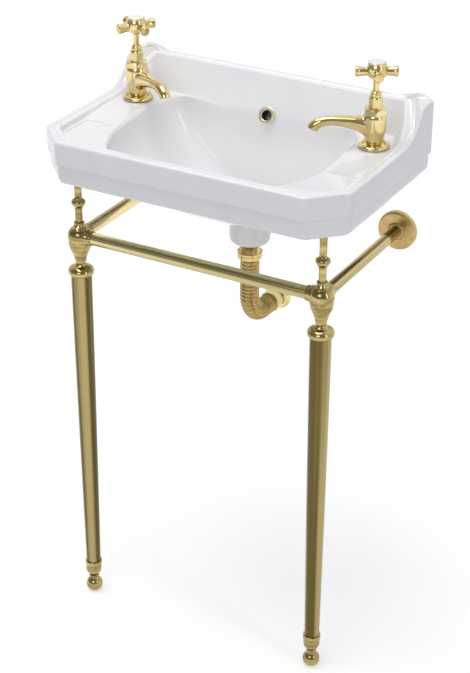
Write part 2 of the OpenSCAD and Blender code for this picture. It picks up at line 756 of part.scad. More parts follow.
module tap_body(side) {
    color(polished) at_tap(side) difference() {
        union() {
            tap_body_profile();
            spout_outside();
            translate([0, 0, z_tail_end])
                cylinder(h = z_tap - z_tail_end + 1, d = tail_d, $fn = round_fn);
        }
        translate([0, 0, z_chamber]) cylinder(h = z_body_top, d = chamber_d, $fn = round_fn);
        translate([0, 0, z_thread]) cylinder(h = 20, d = bonnet_thread_d, $fn = round_fn);
        translate([0, 0, z_tail_end - 1])
            cylinder(h = z_chamber - z_tail_end + 2, d = tail_bore, $fn = round_fn);
        ring_washer(z_relief, relief_w, tail_d + 2, tail_d - 2 * relief_t);
        spout_waterway();
    }
}

module ring_washer(z, h, outer, inner) {
    translate([0, 0, z]) difference() {
        cylinder(h = h, d = outer, $fn = round_fn);
        translate([0, 0, -1]) cylinder(h = h + 2, d = inner, $fn = round_fn);
    }
}

module tap_washers(side) {
    color(rubber) at_tap(side) {
        ring_washer(z_ledge, tap_seal_t, tap_foot_d - 4, tail_d + 2 * seat_gap);
        ring_washer(z_ceiling - back_washer_t, back_washer_t, back_nut_hex, tail_d + 2 * seat_gap);
    }
}

module tap_back_nut(side) {
    color(polished) at_tap(side) translate([0, 0, z_ceiling - back_washer_t - back_nut_h]) difference() {
        cylinder(h = back_nut_h, d = back_nut_hex / cos(30), $fn = 6);
        translate([0, 0, -1])
            cylinder(h = back_nut_h + 2, d = tail_d + 2 * thread_gap, $fn = round_fn);
    }
}

module tap_bonnet(side) {
    hex_r = bonnet_hex / 2 / cos(30);
    sleeve_h = bonnet_h - bonnet_hex_h;
    color(polished) at_tap(side) difference() {
        union() {
            translate([0, 0, z_thread + 1])
                cylinder(h = 10, d = bonnet_thread_d - 2 * thread_gap, $fn = round_fn);
            translate([0, 0, z_body_top]) intersection() {
                cylinder(h = bonnet_hex_h, r = hex_r, $fn = 6);
                cylinder(h = bonnet_hex_h, r1 = hex_r + 2, r2 = hex_r - 1, $fn = round_fn);
            }
            translate([0, 0, z_body_top + bonnet_hex_h]) rotate_extrude($fn = round_fn) polygon([
                [0, 0], [bonnet_d / 2 + 1.5, 0], [bonnet_d / 2, 2], [bonnet_d / 2, sleeve_h - 1],
                [bonnet_d / 2 - 1, sleeve_h], [0, sleeve_h]
            ]);
        }
        translate([0, 0, z_thread - 1])
            cylinder(h = bonnet_h + 14, d = spindle_d + 2 * running, $fn = round_fn);
    }
}

module gland_nut(side) {
    color(polished) at_tap(side) translate([0, 0, z_bonnet_top]) difference() {
        rotate_extrude($fn = round_fn) polygon([
            [0, 0], [gland_d / 2 - 0.8, 0], [gland_d / 2, 1], [gland_d / 2, gland_h - 3],
            [gland_d / 2 - 2.5, gland_h], [0, gland_h]
        ]);
        translate([0, 0, -1]) cylinder(h = gland_h + 2, d = spindle_d + 2 * running, $fn = round_fn);
    }
}

// The ceramic disc valve sits in the chamber under the bonnet and takes the foot of the spindle
module valve(side) {
    color("gainsboro") at_tap(side) difference() {
        translate([0, 0, z_chamber])
            cylinder(h = z_thread - z_chamber, d = chamber_d - 2 * thread_gap, $fn = round_fn);
        translate([0, 0, z_thread - valve_socket])
            cylinder(h = 20, d = spindle_d + 2 * running, $fn = round_fn);
        translate([0, 0, z_chamber - 1]) cylinder(h = 20, d = tail_bore - 5, $fn = round_fn);
    }
}

module spindle(side) {
    low = z_thread - valve_socket + 1;
    color(polished) at_tap(side) difference() {
        union() {
            translate([0, 0, low]) cylinder(h = z_spline - low, d = spindle_d, $fn = round_fn);
            translate([0, 0, z_spline]) cylinder(h = spline_l, d = spline_d, $fn = round_fn);
        }
        translate([0, 0, z_spline]) cylinder(h = spline_l + 1, d = screw_bore, $fn = 32);
    }
}

module handle_arm(root_r) {
    reach = handle_span / 2;
    end = arm_d / 2;
    rotate([0, 90, 0]) rotate_extrude($fn = 48) polygon(concat(
        [[0, root_r], [end - 1.4, root_r], [end - 1.4, hub_d / 2 + 1]],
        [[end - 1.1, reach - 9], [end - 0.2, reach - 5]],
        [for (a = [20:20:80]) [(end - 3) + 3 * cos(a), reach - 3 + 3 * sin(a)]],
        [[0, reach]]
    ));
}

module handle(side) {
    r = hub_d / 2;
    color(polished) at_tap(side) translate([0, 0, z_handle]) difference() {
        union() {
            rotate_extrude($fn = round_fn) polygon([
                [0, 0], [spindle_d / 2 + 1.2, 0], [spindle_d / 2 + 2.5, 1.5], [r - 2.5, 5], [r, 8.5],
                [r, hub_h - 7], [r - 1.4, hub_h - 3.6], [r - 1.9, hub_h], [0, hub_h]
            ]);
            for (turn = [0:90:270]) rotate([0, 0, turn])
                translate([0, 0, hub_h * 0.47]) handle_arm(4.5);
        }
        translate([0, 0, -1]) cylinder(h = 7, d = spindle_d + 2 * running, $fn = round_fn);
        translate([0, 0, 5]) cylinder(h = spline_l + 1.2, d = spline_d + 2 * running, $fn = round_fn);
        translate([0, 0, 5]) cylinder(h = hub_h, d = screw_bore + 1, $fn = 32);
        translate([0, 0, hub_h - hub_recess - head_recess])
            cylinder(h = head_recess + 1, d = head_d + 0.6, $fn = round_fn);
        translate([0, 0, hub_h - hub_recess]) cylinder(h = 10, d = index_d + 2 * running, $fn = round_fn);
    }
}

module index_disc(side) {
    r = index_d / 2;
    color("ivory") at_tap(side) translate([0, 0, z_handle + hub_h - hub_recess])
        rotate_extrude($fn = round_fn) polygon([
            [0, 0], [r, 0], [r, index_t - 1.2], [r - 1, index_t - 0.4], [r - 3, index_t], [0, index_t]
        ]);
}

module handle_screw(side) {
    z_head = z_handle + hub_h - hub_recess - head_recess;
    color("silver") at_tap(side) translate([0, 0, z_head]) difference() {
        union() {
            cylinder(h = head_h, d = head_d, $fn = 48);
            translate([0, 0, -13]) cylinder(h = 13.5, d = screw_bore - thread_gap, $fn = 32);
        }
        translate([-head_d, -0.5, head_h - 1]) cube([2 * head_d, 1, 2]);
    }
}

// Stand: rails and ball joints
z_rail = rail_h;
socket_r = rail_d / 2 + running;
boss_reach = ball_d / 2 + 5;
rail_end = boss_reach - socket_l;
post_bore_low = z_rail + 2;
z_joint_foot = rail_h - leg_drop + 20;
stub_d = 10;
stub_l = 15;

// The funnel under a ball joint: how far in from the ball's radius, and share of its height
funnel = [[2.4, 1], [4.8, 0.79], [7.1, 0.59], [8.6, 0.42], [9.6, 0.25], [10.5, 0.08], [10.8, 0]];
funnel_r = ball_d / 2 - 10.8;

module at_leg(side) {
    placed() mirror([side < 0 ? 1 : 0, 0, 0]) translate([leg_x, leg_y, 0]) children();
}

module rail(length) {
    difference() {
        cylinder(h = length, d = rail_d, $fn = round_fn);
        translate([0, 0, -1]) cylinder(h = length + 2, d = rail_bore, $fn = round_fn);
    }
}

module front_rail() {
    length = 2 * (leg_x - rail_end);
    color(satin) placed() translate([-length / 2, leg_y, z_rail]) rotate([0, 90, 0]) rail(length);
}

module side_rail(side) {
    color(polished) at_leg(side) translate([0, rail_end, z_rail]) rotate([-90, 0, 0])
        rail(-leg_y - plate_t - rail_end);
}

module joint_socket_boss() {
    r = rail_d / 2;
    rotate_extrude($fn = round_fn) polygon([
        [0, 8], [r + 4, 8], [r + 4, ball_d / 2 - 3], [r + 2.2, ball_d / 2], [r + 2.2, boss_reach - 1],
        [r + 1.4, boss_reach], [0, boss_reach]
    ]);
}

module ball_joint(side) {
    r = ball_d / 2;
    top = z_rail + r;
    color(polished) at_leg(side) difference() {
        union() {
            translate([0, 0, z_rail]) sphere(d = ball_d, $fn = round_fn);
            rotate_extrude($fn = round_fn) polygon([
                [0, top + 5], [post_d / 2 + 2, top + 5], [post_d / 2 + 2.8, top + 4.2],
                [post_d / 2 + 2.8, top + 3], [post_d / 2 + 1.8, top + 1.5],
                [post_d / 2 + 2.6, top - 0.5], [post_d / 2 + 5, top - 5], [r - 3, z_rail],
                [r - 1.2, z_rail - 8], [r - 1.4, z_rail - 14],
                for (p = funnel) [r - p[0], lerp(z_joint_foot, z_rail - 19.5, p[1])],
                [0, z_joint_foot]
            ]);
            translate([0, 0, z_rail]) rotate([0, -90, 0]) joint_socket_boss();
            translate([0, 0, z_rail]) rotate([-90, 0, 0]) joint_socket_boss();
        }
        translate([0, 0, post_bore_low]) cylinder(h = ball_d, d = post_d + 2 * running, $fn = round_fn);
        translate([0, 0, z_joint_foot - 1])
            cylinder(h = stub_l + 2, d = stub_d + 2 * thread_gap, $fn = 48);
        translate([-rail_end, 0, z_rail]) rotate([0, -90, 0])
            cylinder(h = ball_d, r = socket_r, $fn = round_fn);
        translate([0, rail_end, z_rail]) rotate([-90, 0, 0])
            cylinder(h = ball_d, r = socket_r, $fn = round_fn);
        set_screw_places() cylinder(h = 10, d = set_screw_d + 2 * running, $fn = 24);
    }
}

set_screw_d = 4;
set_screw_l = 2;
module set_screw_places() {
    for (turn = [180, 90]) rotate([0, 0, turn])
        translate([boss_reach - 3.5, 0, z_rail - rail_d / 2 - 10]) children();
}

module joint_set_screws() {
    color("gray") for (side = [-1, 1]) at_leg(side) set_screw_places()
        translate([0, 0, 10 - running - set_screw_l]) difference() {
            cylinder(h = set_screw_l, d = set_screw_d, $fn = 24);
            translate([0, 0, -1]) cylinder(h = 1.8, d = 2, $fn = 6);
        }
}

// Support posts, which screw up under the front corners of the basin
z_pad = pad_seat - pad_t - seat_gap;
z_post_low = post_bore_low + post_travel + 1;
post_l = z_pad - z_post_low;

module support_post(side) {
    r = post_d / 2;
    ring = z_post_low + post_l * post_ring_place;
    neck = post_l * 0.01;
    flare_l = post_l * 0.22;
    flare = z_pad - flare_l;
    color(polished) at_leg(side) rotate_extrude($fn = round_fn) polygon(concat(
        [[0, z_post_low], [r, z_post_low], [r, ring - 9 * neck], [r + 0.9, ring - 7 * neck]],
        [for (a = [-60:20:60]) [post_ring_d / 2 - 4.5 + 4.5 * cos(a), ring + 4.5 * neck * sin(a)]],
        [[r + 0.9, ring + 7 * neck], [r, ring + 9 * neck], [r, flare],
         [r + 1, flare + flare_l * 0.37], [r + 3, flare + flare_l * 0.68],
         [pad_d / 2, flare + flare_l * 0.87], [pad_d / 2, z_pad], [0, z_pad]]
    ));
}

module support_pad(side) {
    color(rubber) at_leg(side) translate([0, 0, z_pad]) rotate_extrude($fn = round_fn) polygon([
        [0, 0], [pad_d / 2, 0], [pad_d / 2, pad_t - 0.8], [pad_d / 2 - 0.8, pad_t], [0, pad_t]
    ]);
}

// Legs
z_tube_top = rail_h - leg_drop;
spigot_d = leg_bore - 2 * thread_gap;

module leg_collar(side) {
    r = collar_d / 2;
    tube = leg_top_d / 2;
    z = z_tube_top;
    color(polished) at_leg(side) difference() {
        rotate_extrude($fn = round_fn) polygon([
            [0, z - 28], [spigot_d / 2, z - 28], [spigot_d / 2, z], [tube + 0.9, z], [r - 1.1, z + 2],
            [r, z + 5.5], [r - 0.4, z + 8.8], [r - 2.3, z + 12], [r - 5.7, z + 14.6],
            [r - 9.7, z + 16.4], [funnel_r + 0.4, z + 18.6], [funnel_r, z_joint_foot],
            [stub_d / 2, z_joint_foot],
            [stub_d / 2, z_joint_foot + stub_l], [0, z_joint_foot + stub_l]
        ]);
        translate([0, 0, z - 29]) cylinder(h = 24, d = stub_d, $fn = 48);
    }
}

module leg_tube(side) {
    top = leg_top_d / 2;
    foot = leg_foot_d / 2;
    span = z_tube_top - leg_foot_h;
    swell = function(t) foot + (top - foot) * (1 - pow(1 - t, 1.35));
    color(satin) at_leg(side) difference() {
        rotate_extrude($fn = round_fn) polygon(concat(
            [[0, leg_foot_h], [foot, leg_foot_h]],
            [for (i = [1:9]) [swell(i / 10), leg_foot_h + span * i / 10]],
            [[top, z_tube_top], [0, z_tube_top]]
        ));
        translate([0, 0, leg_foot_h - 1]) cylinder(h = span + 2, d = leg_bore, $fn = round_fn);
    }
}

foot_cup_h = 28;
spigot_l = 18;
z_foot_cup = leg_foot_h - foot_cup_h;

module foot_cup(side) {
    r = leg_foot_d / 2;
    z = z_foot_cup;
    color(polished) at_leg(side) difference() {
        rotate_extrude($fn = round_fn) polygon([
            [0, z], [r - 4, z], [r - 2, z + 2], [r + 0.2, z + 5], [r + 1.2, z + 8.5],
            [r + 1.2, z + 18.5], [r + 0.8, z + 19.2], [r + 1.6, z + 19.9], [r + 2.3, z + 20.8],
            [r + 2.3, z + 26.8], [r + 1.8, z + foot_cup_h],
            [spigot_d / 2, z + foot_cup_h], [spigot_d / 2, z + foot_cup_h + spigot_l],
            [0, z + foot_cup_h + spigot_l]
        ]);
        translate([0, 0, z - 1])
            cylinder(h = foot_cup_h + spigot_l + 2, d = stud_d + 2 * running, $fn = 48);
    }
}

module ball_foot(side) {
    r = foot_d / 2;
    middle = r - 0.7;
    color(polished) at_leg(side) union() {
        intersection() {
            translate([0, 0, middle]) sphere(d = foot_d, $fn = round_fn);
            cylinder(h = foot_d, r = r + 1, $fn = round_fn);
        }
        rotate_extrude($fn = round_fn) polygon([
            [0, middle], [r - 7, middle + 9], [r - 7.4, z_foot_cup - 6.5], [r - 6, z_foot_cup - 4.6],
            [r - 5.4, z_foot_cup - 3], [r - 6, z_foot_cup - 1.4], [stud_d / 2, z_foot_cup - seat_gap],
            [stud_d / 2, z_foot_cup + 12 + foot_travel], [0, z_foot_cup + 12 + foot_travel]
        ]);
    }
}

// Wall flanges: a screwed plate with a spigot for the rail, under a round cover
module at_flange(side) {
    placed() translate([side * leg_x, 0, z_rail]) rotate([90, 0, 0]) children();
}

module wall_bracket(side) {
    color("silver") at_flange(side) difference() {
        union() {
            cylinder(h = plate_t, d = plate_d, $fn = round_fn);
            cylinder(h = plate_t + 26, d = rail_bore - 2 * thread_gap, $fn = round_fn);
        }
        translate([0, 0, -1]) cylinder(h = plate_t + 30, d = rail_bore - 6, $fn = round_fn);
        for (up = [-1, 1]) translate([0, up * screw_gap / 2, -1])
            cylinder(h = plate_t + 2, d = screw_d, $fn = round_fn);
    }
}

module wall_cover(side) {
    r = cover_d / 2;
    skin = 1.5;
    color(satin) at_flange(side) rotate_extrude($fn = round_fn) polygon([
        [r - skin, 0], [r, 0], [r, cover_t * 0.65], [r - 1.2, cover_t * 0.88], [r - 3.5, cover_t],
        [rail_d / 2 + 4, cover_t], [rail_d / 2 + 3.4, cover_t + 2.5], [rail_d / 2 + 2.2, cover_t + 4],
        [rail_d / 2 + running, cover_t + 4], [rail_d / 2 + running, cover_t - skin - 0.5],
        [r - 4.5, cover_t - skin - 0.5], [r - skin, cover_t * 0.55]
    ]);
}

basin();
overflow_ring();
waste_body();
waste_top_seal();
waste_plug();
plug_seal();
waste_lower_washer();
waste_back_nut();
waste_union_nut();
union_washer();
waste_pipe();
waste_wall_nut();
waste_outlet();
waste_wall_rosette();
tap_body(-1);  // hot_tap_body
tap_washers(-1);  // hot_tap_washers
tap_back_nut(-1);  // hot_tap_back_nut
tap_bonnet(-1);  // hot_tap_bonnet
gland_nut(-1);  // hot_gland_nut
valve(-1);  // hot_valve
spindle(-1);  // hot_spindle
handle(-1);  // hot_handle
index_disc(-1);  // hot_index
handle_screw(-1);  // hot_handle_screw
tap_body(1);  // cold_tap_body
tap_washers(1);  // cold_tap_washers
tap_back_nut(1);  // cold_tap_back_nut
tap_bonnet(1);  // cold_tap_bonnet
gland_nut(1);  // cold_gland_nut
valve(1);  // cold_valve
spindle(1);  // cold_spindle
handle(1);  // cold_handle
index_disc(1);  // cold_index
handle_screw(1);  // cold_handle_screw
front_rail();
side_rail(-1);  // left_rail
side_rail(1);  // right_rail
ball_joint(-1);  // left_ball_joint
ball_joint(1);  // right_ball_joint
joint_set_screws();
support_post(-1);  // left_support_post
support_post(1);  // right_support_post
support_pad(-1);  // left_support_pad
support_pad(1);  // right_support_pad
leg_collar(-1);  // left_leg_collar
leg_collar(1);  // right_leg_collar
leg_tube(-1);  // left_leg_tube
leg_tube(1);  // right_leg_tube
foot_cup(-1);  // left_foot_cup
foot_cup(1);  // right_foot_cup
ball_foot(-1);  // left_ball_foot
ball_foot(1);  // right_ball_foot
wall_bracket(-1);  // left_wall_bracket
wall_bracket(1);  // right_wall_bracket
wall_cover(-1);  // left_wall_cover
wall_cover(1);  // right_wall_cover
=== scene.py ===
"""Looks of a glazed basin on a turned brass washstand, with two pillar taps and a ribbed waste.

Pieces are modelled in millimetres above the floor, with X to the right and Y into the wall, and are
moved to the frame's metres when they are finished. Each sub-assembly is a class with its own sizes.
"""

from __future__ import annotations

import json
import logging
import math
import sys
from dataclasses import dataclass
from enum import Enum
from typing import Callable, Optional, Sequence

import bmesh
import bpy
from mathutils import Euler, Matrix, Vector

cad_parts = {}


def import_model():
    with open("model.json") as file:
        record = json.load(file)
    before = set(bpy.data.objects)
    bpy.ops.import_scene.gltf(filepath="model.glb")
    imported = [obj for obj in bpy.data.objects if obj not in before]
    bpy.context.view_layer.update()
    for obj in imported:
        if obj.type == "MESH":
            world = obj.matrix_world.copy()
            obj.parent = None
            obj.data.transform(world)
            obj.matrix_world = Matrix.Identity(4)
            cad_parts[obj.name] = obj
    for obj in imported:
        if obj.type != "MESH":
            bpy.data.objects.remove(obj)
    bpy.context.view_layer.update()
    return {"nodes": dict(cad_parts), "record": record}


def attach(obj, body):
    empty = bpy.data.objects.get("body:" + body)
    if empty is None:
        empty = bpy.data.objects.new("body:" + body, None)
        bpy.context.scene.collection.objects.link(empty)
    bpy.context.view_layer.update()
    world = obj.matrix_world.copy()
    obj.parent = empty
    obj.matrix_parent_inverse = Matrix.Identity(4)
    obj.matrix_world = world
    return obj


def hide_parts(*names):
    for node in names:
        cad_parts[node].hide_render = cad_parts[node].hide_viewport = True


LOG = logging.getLogger("washstand")

METRES = 0.001
ORIGIN_HEIGHT = 805.0
FULL_TURN = 2 * math.pi
ROUND_STEPS = 96
FINE_STEPS = 64
WELD = 1e-4
# What an inset takes off each leg of a corner that is clipped at 45 degrees
CLIP_SHARE = 0.586
# The values between which a noise mostly lies
NOISE_LOW = 0.35
NOISE_HIGH = 0.65

Profile = Sequence[Sequence[float]]
Loop = list[Vector]
Stretch = tuple[int, Sequence[float], Sequence[float]]
Grain = Sequence[float]
Shape = bmesh.types.BMesh
Tree = bpy.types.NodeTree
Socket = bpy.types.NodeSocket


class Side(Enum):
    """The two mirrored halves of the washstand, as the sign of their X."""

    LEFT = -1
    RIGHT = 1


class Cut(Enum):
    """How one closed shape is combined with others."""

    ADD = "UNION"
    REMOVE = "DIFFERENCE"
    KEEP = "INTERSECT"


class Lay(Enum):
    """The direction that a finish is brushed in."""

    UPRIGHT = "Z"
    ACROSS = "X"
    INWARDS = "Y"


# Sizes that more than one sub-assembly needs, in millimetres

HALF_WIDTH = 257.5
DEPTH = 324.0
RIM = 848.0
APRON = 778.0
STEP = 810.0
LEDGE = 843.0
CEILING = 829.0
BOWL_FLOOR = 700.0
SEAT = 697.0
BOSS = 644.0
UPSTAND = 45.0
EAR = 40.0
SWEEP = 72.0
WASTE_Y = -99.0
TAP_X = 204.5
TAP_Y = -96.0
LEG_X = 209.5
LEG_Y = -265.0
RAIL = 672.0
OUTLET = 505.0


# Shapes


def turned(profile: Profile, steps: int = ROUND_STEPS, ring: bool = False) -> Shape:
    """Turns a profile about the Z axis, as on a lathe.

    Args:
        profile: Corners as radius, height and, where the corner is rounded, the size of its round.
        steps: Steps in the full turn.
        ring: Whether the profile closes on itself, which leaves a bore.

    Returns:
        The turned shape, with its normals pointing out.
    """
    bm = bmesh.new()
    corners = [bm.verts.new((p[0], 0, p[1])) for p in profile]
    for pair in zip(corners, corners[1:]):
        bm.edges.new(pair)
    if ring:
        bm.edges.new((corners[-1], corners[0]))
    rounds: dict[float, list[bmesh.types.BMVert]] = {}
    for vert, p in zip(corners, profile):
        if len(p) > 2:
            rounds.setdefault(p[2], []).append(vert)
    for size, verts in rounds.items():
        bmesh.ops.bevel(
            bm, geom=verts, offset=size, segments=4, profile=0.5, affect="VERTICES", material=-1,
            clamp_overlap=True,
        )
    bmesh.ops.spin(
        bm, geom=bm.verts[:] + bm.edges[:], cent=(0, 0, 0), axis=(0, 0, 1), dvec=(0, 0, 0),
        angle=FULL_TURN, steps=steps, use_merge=True, use_duplicate=False,
    )
    bmesh.ops.remove_doubles(bm, verts=bm.verts, dist=WELD)
    bmesh.ops.recalc_face_normals(bm, faces=bm.faces)
    return bm


def lofted(loops: Sequence[Loop], ring: bool = False) -> Shape:
    """Draws a loop of points out through further loops of as many points.

    Args:
        loops: The loops in order.
        ring: Whether the last loop joins on to the first; otherwise both ends are closed.

    Returns:
        The closed shape, with its normals pointing out.
    """
    bm = bmesh.new()
    made = bmesh.ops.create_circle(bm, cap_ends=not ring, segments=len(loops[0]), radius=1.0)
    line = list(made["verts"])
    for vert, point in zip(line, loops[0]):
        vert.co = point
    for points in [*loops[1:], loops[0]] if ring else loops[1:]:
        edges = [bm.edges.get((a, b)) for a, b in zip(line, line[1:] + line[:1])]
        grown = bmesh.ops.extrude_edge_only(bm, edges=edges)
        fresh = {g for g in grown["geom"] if isinstance(g, bmesh.types.BMVert)}
        line = [
            next(e.other_vert(v) for e in v.link_edges if e.other_vert(v) in fresh) for v in line
        ]
        for vert, point in zip(line, points):
            vert.co = point
    if not ring:
        bmesh.ops.contextual_create(bm, geom=line)
    bmesh.ops.remove_doubles(bm, verts=bm.verts, dist=WELD)
    bmesh.ops.recalc_face_normals(bm, faces=bm.faces)
    return bm


def bevelled(bm: Shape, width: float) -> None:
    """Bevels every edge of a block or plate, or none where the width is 0."""
    if width:
        bmesh.ops.bevel(
            bm, geom=bm.edges[:], offset=width, segments=3, profile=0.5, affect="EDGES", material=-1
        )


def spokes(
    low: Sequence[float], high: Sequence[float], turns: Sequence[float], bevel: float = 0.0
) -> list[Shape]:
    """Equal blocks, each turned to its bearing about the Z axis.

    Args:
        low: The lowest corner of the unturned block.
        high: Its highest corner.
        turns: Bearings in degrees, one for each block.
        bevel: Width of the bevel on the edges, or 0 for none.

    Returns:
        The blocks.
    """
    size = Vector(high) - Vector(low)
    made = []
    for turn in turns:
        bm = bmesh.new()
        bmesh.ops.create_cube(bm, size=1.0)
        bmesh.ops.scale(bm, vec=size, verts=bm.verts)
        bmesh.ops.translate(bm, vec=Vector(low) + size / 2, verts=bm.verts)
        bevelled(bm, bevel)
        made.append(moved(bm, spun(turn, "Z")))
    return made


def plate(outline: Sequence[Vector], thickness: float, bevel: float = 0.0) -> Shape:
    """Extrudes a flat outline upwards.

    Args:
        outline: Points in order round the outline, at the height of its underside.
        thickness: Height of the plate.
        bevel: Width of the bevel round its edges, or 0 for none.

    Returns:
        The plate.
    """
    bm = bmesh.new()
    face = bm.faces.new([bm.verts.new(p) for p in outline])
    grown = bmesh.ops.extrude_face_region(bm, geom=[face])
    top = [g for g in grown["geom"] if isinstance(g, bmesh.types.BMVert)]
    bmesh.ops.translate(bm, vec=(0, 0, thickness), verts=top)
    bevelled(bm, bevel)
    bmesh.ops.recalc_face_normals(bm, faces=bm.faces)
    return bm


def bore(radius: float, low: float, high: float, steps: int = FINE_STEPS) -> Shape:
    """A round plug between two heights, which cuts a bore.

    Args:
        radius: Radius of the bore.
        low: Height of its lower end.
        high: Height of its upper end.
        steps: Sides of the bore.

    Returns:
        The plug.
    """
    return turned([(0, low), (radius, low), (radius, high), (0, high)], steps)


def moved(bm: Shape, matrix: Matrix) -> Shape:
    """Moves, turns or mirrors a shape, and keeps its faces pointing out.

    Args:
        bm: The shape, which is changed.
        matrix: The move.

    Returns:
        The same shape.
    """
    bmesh.ops.transform(bm, matrix=matrix, verts=bm.verts)
    if matrix.determinant() < 0:
        bmesh.ops.reverse_faces(bm, faces=bm.faces)
    return bm


def at(x: float = 0.0, y: float = 0.0, z: float = 0.0) -> Matrix:
    """A move to a place."""
    return Matrix.Translation((x, y, z))


def spun(degrees: float, axis: str) -> Matrix:
    """A turn about one axis."""
    return Matrix.Rotation(math.radians(degrees), 4, axis)


def mirrored(side: Side) -> Matrix:
    """The mirror that makes a right-hand shape into one for that side."""
    return Matrix.Diagonal((side.value, 1, 1, 1))


def to_object(bm: Shape, name: str) -> bpy.types.Object:
    """Puts a shape into a new object of the scene.

    Args:
        bm: The shape, which is used up.
        name: Name of the object.

    Returns:
        The object.
    """
    mesh = bpy.data.meshes.new(name)
    bm.to_mesh(mesh)
    bm.free()
    made = bpy.data.objects.new(name, mesh)
    bpy.context.scene.collection.objects.link(made)
    return made


def discard(thing: bpy.types.Object) -> None:
    """Removes an object and its mesh."""
    mesh = thing.data
    bpy.data.objects.remove(thing)
    bpy.data.meshes.remove(mesh)


def through(bm: Shape, fit: Callable[[bpy.types.Object], None]) -> Shape:
    """Runs a shape through modifiers and applies them.

    Args:
        bm: The shape, which is used up.
        fit: Adds the modifiers to the shape's object.

    Returns:
        The finished shape.
    """
    holder = to_object(bm, "blank")
    fit(holder)
    graph = bpy.context.evaluated_depsgraph_get()
    graph.update()
    mesh = bpy.data.meshes.new_from_object(holder.evaluated_get(graph))
    made = bmesh.new()
    made.from_mesh(mesh)
    discard(holder)
    bpy.data.meshes.remove(mesh)
    return made


def combined(bm: Shape, others: Sequence[Shape], cut: Cut) -> Shape:
    """Adds closed shapes to a closed shape, cuts them from it or keeps what they share.

    Args:
        bm: The first shape, which is used up.
        others: The other shapes, which are used up.
        cut: What is done with them.

    Returns:
        The combined shape.
    """
    tools = [to_object(other, "tool") for other in others]

    def fit(holder: bpy.types.Object) -> None:
        """Adds one Boolean modifier for each tool."""
        for tool in tools:
            step = holder.modifiers.new("cut", "BOOLEAN")
            step.operation = cut.value
            step.solver = "MANIFOLD"
            step.object = tool

    made = through(bm, fit)
    for tool in tools:
        discard(tool)
    return made


def hexagon(radius: float, low: float, height: float, chamfer: Profile) -> Shape:
    """A hexagon whose corners are turned down to a chamfer.

    Args:
        radius: Its radius over the corners.
        low: Height of its underside.
        height: Its own height.
        chamfer: The profile that it is turned down to.

    Returns:
        The hexagon, solid.
    """
    bm = bmesh.new()
    bmesh.ops.create_cone(
        bm, cap_ends=True, segments=6, radius1=radius, radius2=radius, depth=height
    )
    bmesh.ops.translate(bm, vec=(0, 0, low + height / 2), verts=bm.verts)
    return combined(bm, [turned(chamfer)], Cut.KEEP)


def subdivided(bm: Shape, levels: int = 2) -> Shape:
    """Smooths a cage with a subdivision surface.

    Args:
        bm: The cage, which is used up.
        levels: Levels of subdivision.

    Returns:
        The smooth shape.
    """

    def fit(holder: bpy.types.Object) -> None:
        """Adds the subdivision."""
        step = holder.modifiers.new("smooth", "SUBSURF")
        step.levels = step.render_levels = levels

    return through(bm, fit)


def cast(bm: Shape, grain: float, passes: int) -> Shape:
    """Melts shapes that run into each other into one casting with soft joins.

    Args:
        bm: The shapes, which are used up.
        grain: Size of the remesh.
        passes: Smoothing passes.

    Returns:
        The casting.
    """

    def fit(holder: bpy.types.Object) -> None:
        """Adds the remesh."""
        step = holder.modifiers.new("melt", "REMESH")
        step.mode = "VOXEL"
        step.voxel_size = grain

    made = through(bm, fit)
    for _ in range(passes):
        bmesh.ops.smooth_vert(
            made, verts=made.verts, factor=0.5, use_axis_x=True, use_axis_y=True, use_axis_z=True
        )
    return made


# Materials


def linear(hex_colour: str) -> tuple[float, float, float, float]:
    """Turns an sRGB hex colour into the linear values that a shader takes.

    Args:
        hex_colour: Six hex digits after a hash.

    Returns:
        Linear red, green, blue and an alpha of 1.
    """
    parts = [int(hex_colour[i : i + 2], 16) / 255 for i in (1, 3, 5)]
    red, green, blue = [p / 12.92 if p <= 0.04045 else ((p + 0.055) / 1.055) ** 2.4 for p in parts]
    return red, green, blue, 1.0


def add_node(
    tree: Tree,
    kind: str,
    values: Optional[dict] = None,
    feeds: Optional[dict] = None,
    **settings: object,
) -> bpy.types.Node:
    """Adds a node with its settings, socket values and links.

    Args:
        tree: The material's tree.
        kind: The node's type.
        values: Values by socket name or number.
        feeds: Output sockets of other nodes by socket name or number.
        **settings: The node's own settings.

    Returns:
        The node.
    """
    node = tree.nodes.new(kind)
    for name, value in settings.items():
        setattr(node, name, value)
    for socket, value in (values or {}).items():
        node.inputs[socket].default_value = value
    for socket, source in (feeds or {}).items():
        tree.links.new(source, node.inputs[socket])
    return node


def per_mm(millimetres: float) -> float:
    """The scale of a pattern on coordinates in metres whose grain is that many millimetres."""
    return 1000.0 / millimetres


